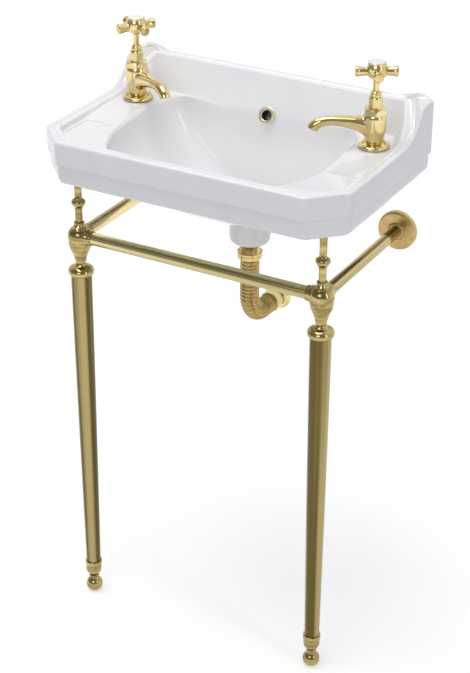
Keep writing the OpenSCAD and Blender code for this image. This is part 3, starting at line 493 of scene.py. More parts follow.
class Surface:
    """A material in the making, whose patterns set its shader's colour, roughness and relief."""

    def __init__(self, name: str, values: dict) -> None:
        """Starts the material.

        Args:
            name: Name of the material.
            values: The values that are even all over, by the shader's socket.
        """
        self.material = bpy.data.materials.new(name)
        self.material.use_nodes = True
        self.tree = self.material.node_tree
        self.tree.nodes.clear()
        self.shader = add_node(self.tree, "ShaderNodeBsdfPrincipled", values)
        shown = self.shader.outputs["BSDF"]
        add_node(self.tree, "ShaderNodeOutputMaterial", feeds={"Surface": shown})
        self.place = add_node(self.tree, "ShaderNodeTexCoord").outputs["Object"]

    def grain(self, size_mm: Grain, detail: float = 2.0) -> Socket:
        """A mottled pattern on the piece's own coordinates.

        Args:
            size_mm: Grain in millimetres along X, Y and Z.
            detail: Octaves of the pattern.

        Returns:
            The socket that gives the pattern.
        """
        scaled = add_node(
            self.tree, "ShaderNodeMapping", {"Scale": [per_mm(size) for size in size_mm]},
            {"Vector": self.place},
        )
        pattern = add_node(
            self.tree, "ShaderNodeTexNoise", {"Scale": 1.0, "Detail": detail, "Roughness": 0.55},
            {"Vector": scaled.outputs["Vector"]},
        )
        return pattern.outputs["Fac"]

    def tinted(
        self, pattern: Socket, colours: tuple[str, str], start: float = NOISE_LOW,
        end: float = NOISE_HIGH,
    ) -> Socket:
        """Two colours that take turns as a pattern runs.

        Args:
            pattern: The pattern.
            colours: The colour where it is low and the colour where it is high.
            start: The pattern's value up to which the first colour is pure.
            end: The value from which the second is.

        Returns:
            The socket that gives the colour.
        """
        share = add_node(
            self.tree, "ShaderNodeMapRange", {"From Min": start, "From Max": end},
            {"Value": pattern},
        )
        tint = add_node(
            self.tree, "ShaderNodeMix", {6: linear(colours[0]), 7: linear(colours[1])},
            {0: share.outputs["Result"]}, data_type="RGBA",
        )
        return tint.outputs[2]

    def dress(
        self, colour: Socket, wear: Socket, rough: tuple[float, float], relief: Socket,
        depth_mm: float, strength: float,
    ) -> Socket:
        """Sets the shader's colour, roughness and relief.

        Args:
            colour: The colour.
            wear: The pattern that the roughness follows.
            rough: The least and the most roughness.
            relief: The pattern that the relief follows.
            depth_mm: Depth of the relief in millimetres.
            strength: Share of that depth that shows.

        Returns:
            The socket that gives the roughness.
        """
        low, high = rough
        worn = add_node(
            self.tree, "ShaderNodeMapRange",
            {"From Min": NOISE_LOW, "From Max": NOISE_HIGH, "To Min": low, "To Max": high},
            {"Value": wear},
        )
        raised = add_node(
            self.tree, "ShaderNodeBump", {"Distance": depth_mm * METRES, "Strength": strength},
            {"Height": relief},
        )
        self.feed("Base Color", colour)
        self.feed("Roughness", worn.outputs["Result"])
        self.feed("Normal", raised.outputs["Normal"])
        return worn.outputs["Result"]

    def feed(self, socket: str, source: Socket) -> None:
        """Links a source to one of the shader's sockets, in place of what fed it before."""
        self.tree.links.new(source, self.shader.inputs[socket])


@dataclass(frozen=True)
class PolishedBrass:
    """Turned brass, buffed on a wheel and lacquered, so reflections are clear with a warm haze."""

    name: str = "polished_brass"
    colours: tuple[str, str] = ("#E3D09A", "#D2BA7C")
    rough: tuple[float, float] = (0.09, 0.17)
    cloud_mm: Grain = (34, 34, 34)
    wipe_mm: Grain = (9, 9, 5)
    buff_mm: Grain = (2.2, 2.2, 0.7)
    buff_depth_mm: float = 0.02
    buff_strength: float = 0.25
    lacquer: float = 0.15
    lacquer_rough: float = 0.08

    def material(self) -> bpy.types.Material:
        """Builds the finish.

        Returns:
            The material.
        """
        surface = Surface(self.name, {
            "Metallic": 1.0, "Coat Weight": self.lacquer, "Coat Roughness": self.lacquer_rough,
        })
        surface.dress(
            surface.tinted(surface.grain(self.cloud_mm), self.colours),
            surface.grain(self.wipe_mm, 4.0), self.rough,
            surface.grain(self.buff_mm, 3.0), self.buff_depth_mm, self.buff_strength,
        )
        return surface.material


@dataclass(frozen=True)
class BrushedBrass:
    """Drawn brass tube, brushed along its length, with long light and dark streaks in its colour
    that are painted reflections.
    """

    name: str
    lay: Lay
    colours: tuple[str, str] = ("#A99968", "#63572F")
    rough: tuple[float, float] = (0.16, 0.30)
    # Real scratches are under a tenth of a millimetre, which would not show in the picture
    scratch_mm: float = 0.5
    scratch_length_mm: float = 60.0
    scratch_depth_mm: float = 0.03
    scratch_strength: float = 0.35
    # Long light and dark bands in the colour: painted reflections of lamps and of dark surroundings
    painted_band_mm: float = 11.0
    painted_band_length_mm: float = 2400.0
    painted_band_span: tuple[float, float] = (0.38, 0.6)

    def along(self, across: float, length: float) -> Grain:
        """The grain of a pattern that runs the way the tube was drawn."""
        return [length if axis == self.lay.value else across for axis in "XYZ"]

    def material(self) -> bpy.types.Material:
        """Builds the finish.

        Returns:
            The material.
        """
        surface = Surface(self.name, {"Metallic": 1.0})
        scratch = surface.grain(self.along(self.scratch_mm, self.scratch_length_mm), 3.0)
        painted_band = surface.grain(self.along(self.painted_band_mm, self.painted_band_length_mm), 1.0)
        surface.dress(
            surface.tinted(painted_band, self.colours, *self.painted_band_span), scratch, self.rough,
            scratch, self.scratch_depth_mm, self.scratch_strength,
        )
        return surface.material


@dataclass(frozen=True)
class Glaze:
    """Vitreous china under a clear glaze: bright, softly reflecting, with a ground flat back."""

    name: str = "glazed_china"
    colours: tuple[str, str] = ("#F4F4F5", "#F1F1F3")
    bisque: str = "#E4DFD3"
    rough: tuple[float, float] = (0.05, 0.09)
    bisque_rough: float = 0.55
    refraction: float = 1.52
    clear_coat: float = 0.3
    clear_coat_rough: float = 0.03
    pool_mm: Grain = (60, 60, 60)
    speck_mm: Grain = (0.8, 0.8, 0.8)
    ripple_mm: Grain = (14, 14, 14)
    ripple_depth_mm: float = 0.12
    ripple_strength: float = 0.2
    # Where the glaze ends and the ground back starts, in metres in front of the wall
    ground_back: tuple[float, float] = (-0.0006, -0.0003)

    def material(self) -> bpy.types.Material:
        """Builds the finish.

        Returns:
            The material.
        """
        surface = Surface(self.name, {
            "IOR": self.refraction, "Coat Weight": self.clear_coat,
            "Coat Roughness": self.clear_coat_rough,
        })
        tree = surface.tree
        glazed = surface.tinted(surface.grain(self.pool_mm), self.colours)
        gloss = surface.dress(
            glazed, surface.grain(self.speck_mm), self.rough,
            surface.grain(self.ripple_mm, 1.0), self.ripple_depth_mm, self.ripple_strength,
        )
        place = add_node(tree, "ShaderNodeSeparateXYZ", feeds={0: surface.place})
        start, end = self.ground_back
        ground = add_node(
            tree, "ShaderNodeMapRange", {"From Min": start, "From Max": end},
            {"Value": place.outputs["Y"]},
        ).outputs["Result"]
        colour = add_node(
            tree, "ShaderNodeMix", {7: linear(self.bisque)}, {0: ground, 6: glazed},
            data_type="RGBA",
        )
        surface.feed("Base Color", colour.outputs[2])
        dull = add_node(
            tree, "ShaderNodeMath", {1: self.bisque_rough}, {0: ground}, operation="MULTIPLY"
        )
        total = add_node(
            tree, "ShaderNodeMath", feeds={0: dull.outputs[0], 1: gloss}, operation="ADD"
        )
        surface.feed("Roughness", total.outputs[0])
        return surface.material


@dataclass(frozen=True)
class Moulded:
    """A plain, even part: rubber seals, white index discs, fired valve discs and zinc plate."""

    name: str
    colours: tuple[str, str]
    rough: float
    grain_mm: float
    depth_mm: float
    metallic: float = 0.0
    rough_share: float = 0.15
    cloud_share: float = 14.0
    strength: float = 0.4

    def material(self) -> bpy.types.Material:
        """Builds the finish.

        Returns:
            The material.
        """
        surface = Surface(self.name, {"Metallic": self.metallic})
        grain = surface.grain([self.grain_mm] * 3, 3.0)
        cloud = surface.grain([self.grain_mm * self.cloud_share] * 3)
        rough = (self.rough * (1 - self.rough_share), self.rough * (1 + self.rough_share))
        surface.dress(
            surface.tinted(cloud, self.colours), grain, rough, grain, self.depth_mm, self.strength
        )
        return surface.material


class Finish(Enum):
    """The finishes by the record's material slots."""

    GLAZE = "glazed_ceramic"
    POLISHED = "polished_brass"
    TURNED = "polished_brass_turned"
    PALE = "polished_brass_pale"
    DRAWN_INWARDS = "polished_brass_drawn"
    BRUSHED_UP = "brushed_brass"
    BRUSHED_ACROSS = "brushed_brass_across"
    SATIN = "brushed_brass_satin"
    RIBBED = "brushed_brass_ribbed"
    RUBBER = "black_rubber"
    INDEX = "index_ceramic"
    VALVE = "valve_ceramic"
    STEEL = "zinc_steel"

    @property
    def slot(self) -> str:
        """The record's name of the material slot."""
        kept = (Finish.POLISHED, Finish.BRUSHED_UP)
        return next((k.value for k in kept if self.value.startswith(k.value)), self.value)


class Workshop:
    """Makes the finishes once, turns shapes into finished pieces and sets them on their bodies."""

    def __init__(self, nodes: dict[str, bpy.types.Object], record: dict) -> None:
        """Makes the finishes.

        Args:
            nodes: The CAD nodes' objects by name.
            record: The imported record.
        """
        self.nodes = nodes
        self.slots = {s["node"]: s["material_slot"] for s in record["subparts"]}
        bodies = record["behaviour"]["bodies"]
        self.body_of = {node: body for body, members in bodies.items() for node in members}
        looks = {
            Finish.GLAZE: Glaze(),
            Finish.POLISHED: PolishedBrass(),
            # The tubes' and rails' two colours run in long bands of painted reflection, light for
            # lamps and dark for the surroundings; the rails' wide pair paints highlight lines and
            # dark edges
            Finish.BRUSHED_UP: BrushedBrass("brushed_brass_tube", Lay.UPRIGHT),
            Finish.BRUSHED_ACROSS: BrushedBrass(
                "brushed_brass_rail", Lay.ACROSS, ("#F2E3AC", "#8F8150")
            ),
            Finish.DRAWN_INWARDS: BrushedBrass(
                "polished_brass_rail", Lay.INWARDS, ("#ECDCA4", "#75673A"), (0.09, 0.16)
            ),
            # The turned parts' darker colour, in thin light and dark rings, paints reflection bands
            Finish.TURNED: PolishedBrass(
                "turned_brass", ("#BFAC74", "#8C7A46"), (0.08, 0.15), (40, 40, 9)
            ),
            Finish.SATIN: PolishedBrass(
                "satin_brass", ("#CDB27A", "#B4995F"), (0.3, 0.4), (30, 30, 30)
            ),
            # The overflow bezel's pale colour is a painted reflection of a bright softbox
            Finish.PALE: PolishedBrass(
                "pale_satin_brass", ("#F2E8CC", "#EADFBD"), (0.3, 0.4), (20, 20, 20)
            ),
            Finish.RIBBED: PolishedBrass(
                "ribbed_brass", ("#B59D62", "#A38B50"), (0.22, 0.32), (12, 12, 12)
            ),
            # Real rubber seals and pads, and also the overflow's black liner, a dark sheet that
            # paints shade
            Finish.RUBBER: Moulded("moulded_rubber", ("#1C1C1E", "#262628"), 0.55, 0.6, 0.03),
            Finish.INDEX: Moulded("index_china", ("#F6F6F2", "#EFEFEA"), 0.12, 3.0, 0.01),
            Finish.VALVE: Moulded("fired_alumina", ("#DAD8D2", "#CFCDC6"), 0.4, 0.8, 0.01),
            Finish.STEEL: Moulded("zinc_plated_steel", ("#B9BCBE", "#A9A48C"), 0.3, 1.2, 0.02, 1.0),
        }
        self.materials = {finish: look.material() for finish, look in looks.items()}

    def piece(
        self, name: str, bm: Shape, finish: Finish, nodes: Sequence[str],
        crease: float = 38.0,
    ) -> bpy.types.Object:
        """Finishes a shape as a piece that stands for CAD nodes.

        Args:
            name: Name of the piece.
            bm: The shape in millimetres above the floor, which is used up.
            finish: Its finish.
            nodes: The CAD nodes that it stands for, all on one body.
            crease: Angle in degrees past which an edge stays sharp.

        Returns:
            The piece.
        """
        bmesh.ops.transform(
            bm, matrix=Matrix.Scale(METRES, 4) @ at(z=-ORIGIN_HEIGHT), verts=bm.verts
        )
        made = to_object(bm, name)
        made.data.shade_smooth()
        made.data.set_sharp_from_angle(angle=math.radians(crease))
        made.data.materials.append(self.materials[finish])
        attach(made, self.body_of[nodes[0]])
        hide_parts(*nodes)
        LOG.info("%s: %d faces, on %s", name, len(made.data.polygons), self.body_of[nodes[0]])
        return made

    def dress_nodes(self) -> None:
        """Gives each CAD node the finish of its slot."""
        finishes = {finish.value: finish for finish in Finish}
        for name, node in self.nodes.items():
            node.data.materials.clear()
            node.data.materials.append(self.materials[finishes[self.slots[name]]])


# The basin


@dataclass
class Basin:
    """The china basin, drawn out ring by ring from its apron over the rim and down the bowl."""

    shop: Workshop
    rim_width: float = 20.0
    corner_clip: float = 51.0
    band_step: float = 4.0
    wall: float = 12.0
    upstand_thickness: float = 17.0
    upstand_lean: float = 25.0
    inner_clip: float = 20.0
    tray_drop: float = 5.0
    tray_step: float = 1.2
    tray: Profile = ((229.4, -203), (229.4, -262), (195.4, -296), (150, -296), (150, -203))
    platform: float = 138.0
    tray_slope: float = 66.0
    bowl_x: float = 171.5
    bowl_front: float = 298.0
    bowl_back: float = 46.0
    boss_radius: float = 33.0
    waste_radius: float = 18.5
    nut_recess_radius: float = 22.5
    overflow_radius: float = 11.0
    fixing_half_gap: float = 140.0
    fixing_radius: float = 7.0
    fixing_height: float = 805.0
    tap_hole_radius: float = 14.0
    # Of each stretch between two corners: its parts, and how far from its first and from its last
    # corner further points lie, which keep that corner crisp
    stretches: tuple[Stretch, ...] = (
        (3, (9,), (9,)), (5, (9,), ()), (4, (), ()), (2, (), (5,)), (2, (5,), (5,)),
    )
    back_stretch: Stretch = (8, (5, 22, 32, 46), (5, 22, 32, 46))
    front_stretch: Stretch = (8, (9,), (9,))
    softenings: int = 6
    roundness: float = 2.0
    ear_crest: float = 9.5
    ear_fall: float = 22.0
    ear_inner_x: float = 212.0
    ear_inner_fall: float = 15.0
    ear_back: float = 8.0
    ear_run: float = 32.0
    edge_drop: float = 4.0
    duct_width: float = 38.0
    duct_wall: float = 7.0
    duct_gap: float = 2.0
    duct_back: float = -7.0
    pad_radius: float = 30.0
    pad_foot: float = 785.0
    foot_radius: float = 37.0
    foot_bearings: Sequence[float] = (-62, -35, -8, 20, 47, 72)
    # The line in front on which the ledge's inner ring runs, the lines of the three rings of its
    # underside, and how far behind the front of the first two points are still moved on to them
    ledge_front: float = -299.45
    under_fronts: Sequence[float] = (-303.4, -304.4, -305.4)
    under_reaches: Sequence[float] = (5.4, 7.1)

    def both(self, corners: Profile) -> list[Vector]:
        """Adds the left-hand corners to the right-hand ones."""
        right = [Vector((x, y)) for x, y in corners]
        return right + [Vector((-p.x, p.y)) for p in reversed(right)]

    def edge(self, inset: float, back: float) -> list[Vector]:
        """Corners of the outer edge, moved in."""
        x, y, c = HALF_WIDTH - inset, DEPTH - inset, self.corner_clip - inset * CLIP_SHARE
        return self.both([
            (x - c, -y), (x, c - y), (x, -EAR - SWEEP), (x, -EAR - SWEEP * 0.3), (x, -EAR),
            (x, -back),
        ])

    def rim(self, inset: float, back: float) -> list[Vector]:
        """Corners of the rim's inner edge, which turns across the rear corners."""
        x, y, c = HALF_WIDTH - inset, DEPTH - inset, self.corner_clip - inset * CLIP_SHARE
        clip = self.inner_clip
        return self.both([
            (x - c, -y), (x, c - y), (x, -EAR - SWEEP), (x, -back - clip * 2.2),
            (x - clip, -back), (x - clip * 2, -back),
        ])

    def bowl(self, grow: float = 0.0, lip: float = 0.0) -> list[Vector]:
        """Corners of the bowl's edge, moved out all round and by a lip that is slight in front."""
        x, front, back = self.bowl_x, self.bowl_front, self.bowl_back
        corners = [
            (x - 32, -front), (x, -front * 0.72), (x, -self.platform - 12), (x, TAP_Y),
            (x - 8, -back - 18), (x - 24, -back),
        ]
        away = [(0.4, -1), (1, -0.4), (1, 0), (1, 0.3), (0.8, 0.7), (0.4, 1)]
        lips = [(0.6, -0.12), (1, -0.5), (1, 0), (1, 0.3), (0.9, 0.6), (0.4, 0.3)]
        return self.both([
            (c[0] + grow * a[0] + lip * b[0], c[1] + grow * a[1] + lip * b[1])
            for c, a, b in zip(corners, away, lips)
        ])

    def shares(self) -> list[list[float]]:
        """Where the points of each stretch of an outline lie, as shares of its length."""
        corners = self.edge(0, 0)
        right = list(self.stretches)
        left = [(n, last, first) for n, first, last in reversed(right)]
        made = []
        stretches = [*right, self.back_stretch, *left, self.front_stretch]
        for i, (count, first, last) in enumerate(stretches):
            length = (corners[(i + 1) % len(corners)] - corners[i]).length
            near = [distance / length for distance in first]
            far = [1 - distance / length for distance in reversed(last)]
            made.append([0.0, *near, *(k / count for k in range(1, count)), *far])
        return made

    def outline(self, corners: Sequence[Vector]) -> list[Vector]:
        """Points round an outline, close together at its crisp corners.

        Args:
            corners: Its corners in order.

        Returns:
            The points in plan, as many for every outline.
        """
        return [
            corners[i].lerp(corners[(i + 1) % len(corners)], share)
            for i, stretch in enumerate(self.shares())
            for share in stretch
        ]

    def ledge_height(self, y: float) -> float:
        """Height of the tap platforms and of the soap trays in front of them."""
        slope = (-y - self.platform) / self.tray_slope
        return LEDGE - self.tray_drop * min(1.0, max(0.0, slope))

    def flat(self, corners: Sequence[Vector], z: float) -> Loop:
        """A ring at one height."""
        return [Vector((p.x, p.y, z)) for p in self.outline(corners)]

    def on_rim(self, corners: Sequence[Vector], drop: float) -> Loop:
        """A ring that follows the rim up the sweeps on to the upstand."""
        made = []
        for p, edge in zip(self.outline(corners), self.outline(self.edge(0, 0))):
            rise = 1.0 if edge.y > -EAR else max(0.0, 1 + (edge.y + EAR) / SWEEP) ** 3
            made.append(Vector((p.x, p.y, RIM - drop + UPSTAND * rise)))
        return made

    def fronted(self, loop: Loop, y: float, reach: float = 0.1) -> Loop:
        """Sets the points of a ring that lie within a reach of its front on a line."""
        front = min(p.y for p in loop)
        return [Vector((p.x, y if p.y < front + reach else p.y, p.z)) for p in loop]

    def eared(self, loop: Loop, share: float = 1.0) -> Loop:
        """Raises a ring on the rim to the crests of the ears, which slope down to the sides."""
        made = []
        for p in loop:
            outer = (HALF_WIDTH - abs(p.x)) / self.ear_fall
            inner = (abs(p.x) - self.ear_inner_x) / self.ear_inner_fall
            across = max(0.0, min(1.0, outer, inner))
            along = max(0.0, min(1.0, 1 + (p.y + self.ear_back) / self.ear_run))
            made.append(p + Vector((0, 0, share * self.ear_crest * across * along)))
        return made

    def back_shares(self) -> list[float]:
        """How far each point of an outline is on the back of the bowl, from 0 to 1."""
        made = []
        for i, stretch in enumerate(self.shares()):
            for share in stretch:
                depth = min(1.0, 5 * min(share, 1 - share)) if i == len(self.stretches) else 0.0
                made.append(depth * depth * (3 - 2 * depth))
        return made

    def backed(self, loop: Loop, y: float, z: float) -> Loop:
        """Moves a ring's back to a line, so that the upstand runs on down into the bowl."""
        return [
            Vector((p.x, p.y + (y - p.y) * share, p.z + (z - p.z) * share))
            for p, share in zip(loop, self.back_shares())
        ]

    def inwards(self, share: float) -> float:
        """How far out a ring at a share of the bowl's height lies, which makes its walls round."""
        return 1 - (1 - share) ** self.roundness

    def bowl_line(self, grow: float = 0.0, lip: float = 0.0) -> list[Vector]:
        """Points round the bowl's edge, moved out, with the corners drawn round."""
        line = self.outline(self.bowl(grow, lip))
        for _ in range(self.softenings):
            behind, ahead = [line[-1]] + line, line[1:] + line[:1]
            line = [(before + 2 * p + after) / 4 for before, p, after in zip(behind, line, ahead)]
        return line

    def on_ledge(self, line: Sequence[Vector], drop: float) -> Loop:
        """A ring on the ledge."""
        return [Vector((p.x, p.y, self.ledge_height(p.y) - drop)) for p in line]

    def circle(self, radius: float, z: float) -> Loop:
        """A round ring about the waste, with its points facing those of the bowl's edge."""
        middle = Vector((0, WASTE_Y))
        directions = (Vector((math.cos(a), math.sin(a))) for a in self.bearings())
        return [Vector((*(middle + radius * d), z)) for d in directions]

    def bearings(self) -> list[float]:
        """Bearings of the outline's points about the waste, evened out round the circle."""
        right = [math.radians(a) for a in self.foot_bearings]
        corners = right + [math.pi - a for a in reversed(right)]
        corners.append(corners[0] + FULL_TURN)
        return [
            corners[i] + (corners[i + 1] - corners[i]) * share
            for i, stretch in enumerate(self.shares())
            for share in stretch
        ]

    def wall_ring(self, share: float, grow: float, drop: float) -> Loop:
        """A ring part way up the bowl.

        Args:
            share: 0 at the floor, 1 at the bowl's edge.
            grow: Distance that the ring is moved out.
            drop: Distance that it is moved down.

        Returns:
            The ring.
        """
        floor = self.circle(self.foot_radius, BOWL_FLOOR)
        plain, wide = self.bowl_line(), self.bowl_line(grow)
        edge = self.on_ledge(plain, self.edge_drop)
        made = []
        for low, high, a, b in zip(floor, edge, plain, wide):
            point = low.lerp(high, self.inwards(share))
            out = b - a
            height = low.z + (high.z - low.z) * share
            made.append(Vector((point.x + out.x, point.y + out.y, height - drop)))
        return made

    def between(self, first: Loop, second: Loop, share: float) -> Loop:
        """A ring between two rings."""
        return [a.lerp(b, share) for a, b in zip(first, second)]

    def rings(self) -> list[Loop]:
        """The rings in order, from the foot of the apron over the rim to the inside of the apron.

        Returns:
            The rings.
        """
        step, wall = self.band_step, self.wall
        thick, lean = self.upstand_thickness, self.upstand_lean
        face_top = self.on_rim(self.rim(self.rim_width, thick), 2.2)
        face_foot = self.on_ledge(self.outline(self.rim(self.rim_width + 3, thick + lean)), 0.0)
        outside = [
            self.flat(self.edge(inset, 0), z)
            for inset, z in (
                (step + 8, APRON + 0.2), (step + 4.6, APRON + 1.8), (step + 2.2, APRON + 4.6),
                (step + 0.7, APRON + 8.4), (step, APRON + 13), (step, STEP - 6),
                (step, STEP - 2.2), (step + 0.5, STEP - 1.2), (step + 0.5, STEP - 0.1),
                (step * 0.4, STEP - 0.1), (0.3, STEP + 0.5), (0, STEP + 2.4), (0, STEP + 7),
            )
        ]
        bead = [
            self.eared(self.on_rim(self.edge(inset, 0), drop))
            for inset, drop in ((0, 9), (0, 5), (0.7, 2.2), (2.4, 0.5), (5, 0))
        ]
        bead += [
            self.eared(self.on_rim(self.rim(inset, back), drop), share)
            for inset, back, drop, share in (
                (7.6, 7.2, 0, 1.0), (8.4, 7.8, 0, 1.0), (10, 9.2, 0.3, 0.75),
                (10.9, 10.1, 1.1, 0.4), (12.0, 11.0, 1.9, 0.12), (16.5, 14.4, 1.9, 0.0),
                (18.9, 16.2, 1.9, 0.0),
            )
        ]
        face = [self.between(face_top, face_foot, s) for s in (0.0, 0.07, 0.35, 0.65, 0.9)]
        lower, inner = (
            self.on_ledge(self.outline(self.rim(self.rim_width + inset, thick + lean + back)), 0.1)
            for inset, back in ((4.2, 0.6), (7, 1.2))
        )
        ledge = [
            self.backed(lower, -42.9, 841.2),
            self.backed(self.fronted(inner, self.ledge_front), -43.8, 839.2),
        ]
        ledge += [
            self.backed(self.on_ledge(self.bowl_line(lip=lip), drop), y, z)
            for lip, drop, y, z in (
                (9, 0.2, -44.6, 837), (4.6, 1.2, -45.4, 834.4), (1.6, 3.4, -46.1, 831.2)
            )
        ]
        bowl = [
            self.backed(self.wall_ring(0.96, 0.2, 1), -46.8, 827),
            self.backed(self.wall_ring(0.85, 0.4, 0), -47.6, 816),
        ]
        bowl += [
            self.wall_ring(share, grow, drop)
            for share, grow, drop in (
                (0.68, 0.6, 0), (0.5, 0.6, 0), (0.34, 0.6, 0.6), (0.2, 0.6, 1.6), (0.08, 0.4, 2)
            )
        ]
        hole, nut, boss = self.waste_radius, self.nut_recess_radius, self.boss_radius
        throat = [
            self.circle(radius, z)
            for radius, z in (
                (38, 700.5), (35.4, BOWL_FLOOR - 0.6), (34.2, SEAT + 0.8), (33, SEAT), (24, SEAT),
                (19.4, SEAT), (hole, SEAT - 1), (hole, 670), (hole, BOSS + 8),
                (hole + 0.7, BOSS + 7), (nut - 0.5, BOSS + 7), (nut, BOSS + 6.6),
                (nut, BOSS + 1.2), (nut + 0.4, BOSS + 0.2), (nut + 1.1, BOSS),
                (boss - 7.6, BOSS), (boss - 4, BOSS + 1.3), (boss - 1.1, BOSS + 4),
                (boss, BOSS + 8.5), (boss, 662), (boss, 680), (boss + 0.6, 683.5),
                (boss + 3, 685.4), (boss + 7, 686),
            )
        ]
        fronts, reaches = self.under_fronts, self.under_reaches
        under = [self.wall_ring(0.2, wall + 2, 9), self.wall_ring(0.5, wall + 3, 5)]
        under += [
            self.fronted(
                [Vector((p.x, p.y, CEILING - drop)) for p in self.wall_ring(share, grow, 0)],
                front, reach,
            )
            for share, grow, drop, front, reach in (
                (0.86, wall + 2, 6, fronts[0], reaches[0]),
                (0.92, wall + 2.5, 0.6, fronts[1], reaches[1]),
            )
        ]
        under.append(
            self.fronted(self.flat(self.edge(step + wall + 6, wall + 3), CEILING), fronts[2])
        )
        under += [
            self.flat(self.edge(inset, back), z)
            for inset, back, z in (
                (step + wall + 1.5, wall + 1, CEILING - 0.6), (step + wall, wall, CEILING - 4),
                (step + wall - 0.2, wall, APRON + 6), (step + wall - 0.6, wall - 0.3, APRON + 1.6),
                (step + wall - 1.1, wall - 2, APRON), (step + wall - 2.6, 2, APRON),
            )
        ]
        return [*outside, *bead, *face, *ledge, *bowl, *throat, *under]

    def duct(
        self, front: float, depth: float, low: float, reach: float, width: float, bevel: float
    ) -> Shape:
        """The overflow duct behind the bowl.

        Args:
            front: Distance of its front face behind the bowl's surface.
            depth: Its depth, front to back.
            low: Height of its floor over the foot of the boss.
            reach: How far forward its foot runs.
            width: Its width.
            bevel: Bevel round its edges.

        Returns:
            The duct as a closed shape.
        """
        edge = LEDGE - self.edge_drop
        heights = [edge, CEILING - 4, (BOWL_FLOOR + CEILING) / 2, BOWL_FLOOR + 6]
        turn = SEAT - self.wall
        foot_back = math.sin(math.radians(self.foot_bearings[-1]))
        floor_back = self.foot_radius * foot_back + WASTE_Y
        fronts = []
        for height in heights:
            share = self.inwards((height - BOWL_FLOOR) / (edge - BOWL_FLOOR))
            surface = floor_back + (-self.bowl_back - floor_back) * share
            fronts.append(surface + self.duct_gap + front)
        points = list(zip(fronts, heights))
        points += [(fronts[3], turn - front), (reach, turn - front), (reach, BOSS + low)]
        points += [(fronts[3] + depth, BOSS + low)]
        points += [(min(f + depth, self.duct_back), h) for f, h in reversed(points[:4])]
        outline = [Vector((y, z, -width / 2)) for y, z in points]
        across = spun(90, "Z") @ spun(90, "X")
        return moved(plate(outline, width, bevel), across)

    def build(self) -> None:
        """Draws, smooths, bores and glazes the basin."""
        body = subdivided(lofted(self.rings(), ring=True))
        slope = math.atan(self.upstand_lean / (UPSTAND + RIM - LEDGE))
        tilt = Matrix.Rotation(math.pi / 2 - slope, 4, "X")
        overflow = at(y=-self.bowl_back - 1, z=RIM - 12) @ tilt
        radius, foot, top = self.pad_radius, self.pad_foot, CEILING + 4
        pads = [
            moved(turned([(0, foot), (radius, foot, 1.5), (radius, top), (0, top)]),
                  at(side.value * LEG_X, LEG_Y))
            for side in Side
        ]
        shell = self.duct(
            front=self.wall - 5, depth=23, low=12, reach=WASTE_Y + 24.5,
            width=self.duct_width + 2 * self.duct_wall, bevel=2.0,
        )
        body = combined(body, [shell, *pads], Cut.ADD)
        cutters = [
            self.duct(
                front=self.wall - 1, depth=13, low=19, reach=WASTE_Y, width=self.duct_width,
                bevel=0,
            ),
            moved(bore(self.overflow_radius, -16, 12), overflow),
        ]
        for side in Side:
            tray = [Vector((side.value * x, y, 0)) for x, y in self.tray]
            tap_hole = bore(self.tap_hole_radius, CEILING - 1, LEDGE + 1)
            fixing = at(side.value * self.fixing_half_gap, 0, self.fixing_height) @ spun(90, "X")
            cutters += [
                moved(plate(tray, 8, 0.4), at(z=LEDGE - self.tray_drop - self.tray_step)),
                moved(tap_hole, at(side.value * TAP_X, TAP_Y)),
                moved(bore(self.fixing_radius, -1, 18), fixing),
            ]
        body = combined(body, cutters, Cut.REMOVE)
        self.shop.piece("china_basin", body, Finish.GLAZE, ["basin"], 42)
        # The bezel's pale finish paints the reflection of a bright softbox
        ring = turned([
            (8, -11), (10.7, -11), (10.7, 0.3), (13.5, 0.3, 0.3), (13.5, 1.2, 0.4),
            (12.6, 1.9, 0.4), (9.2, 2.1, 0.4), (8.4, 1.5, 0.3), (8, 0.4, 0.3),
        ], ring=True)
        # A black liner inside the bezel's bore: a dark sheet that paints the shade inside the
        # overflow hole
        sleeve = turned([(7.4, -10.8), (8, -10.8), (8, 0.5), (7.4, 0.5)], ring=True)
        for name, bm, finish in (
            ("overflow_bezel", ring, Finish.PALE), ("overflow_sleeve", sleeve, Finish.RUBBER),
        ):
            self.shop.piece(name, moved(bm, overflow @ at(z=1.5)), finish, ["overflow_ring"])


# The waste and its pipe


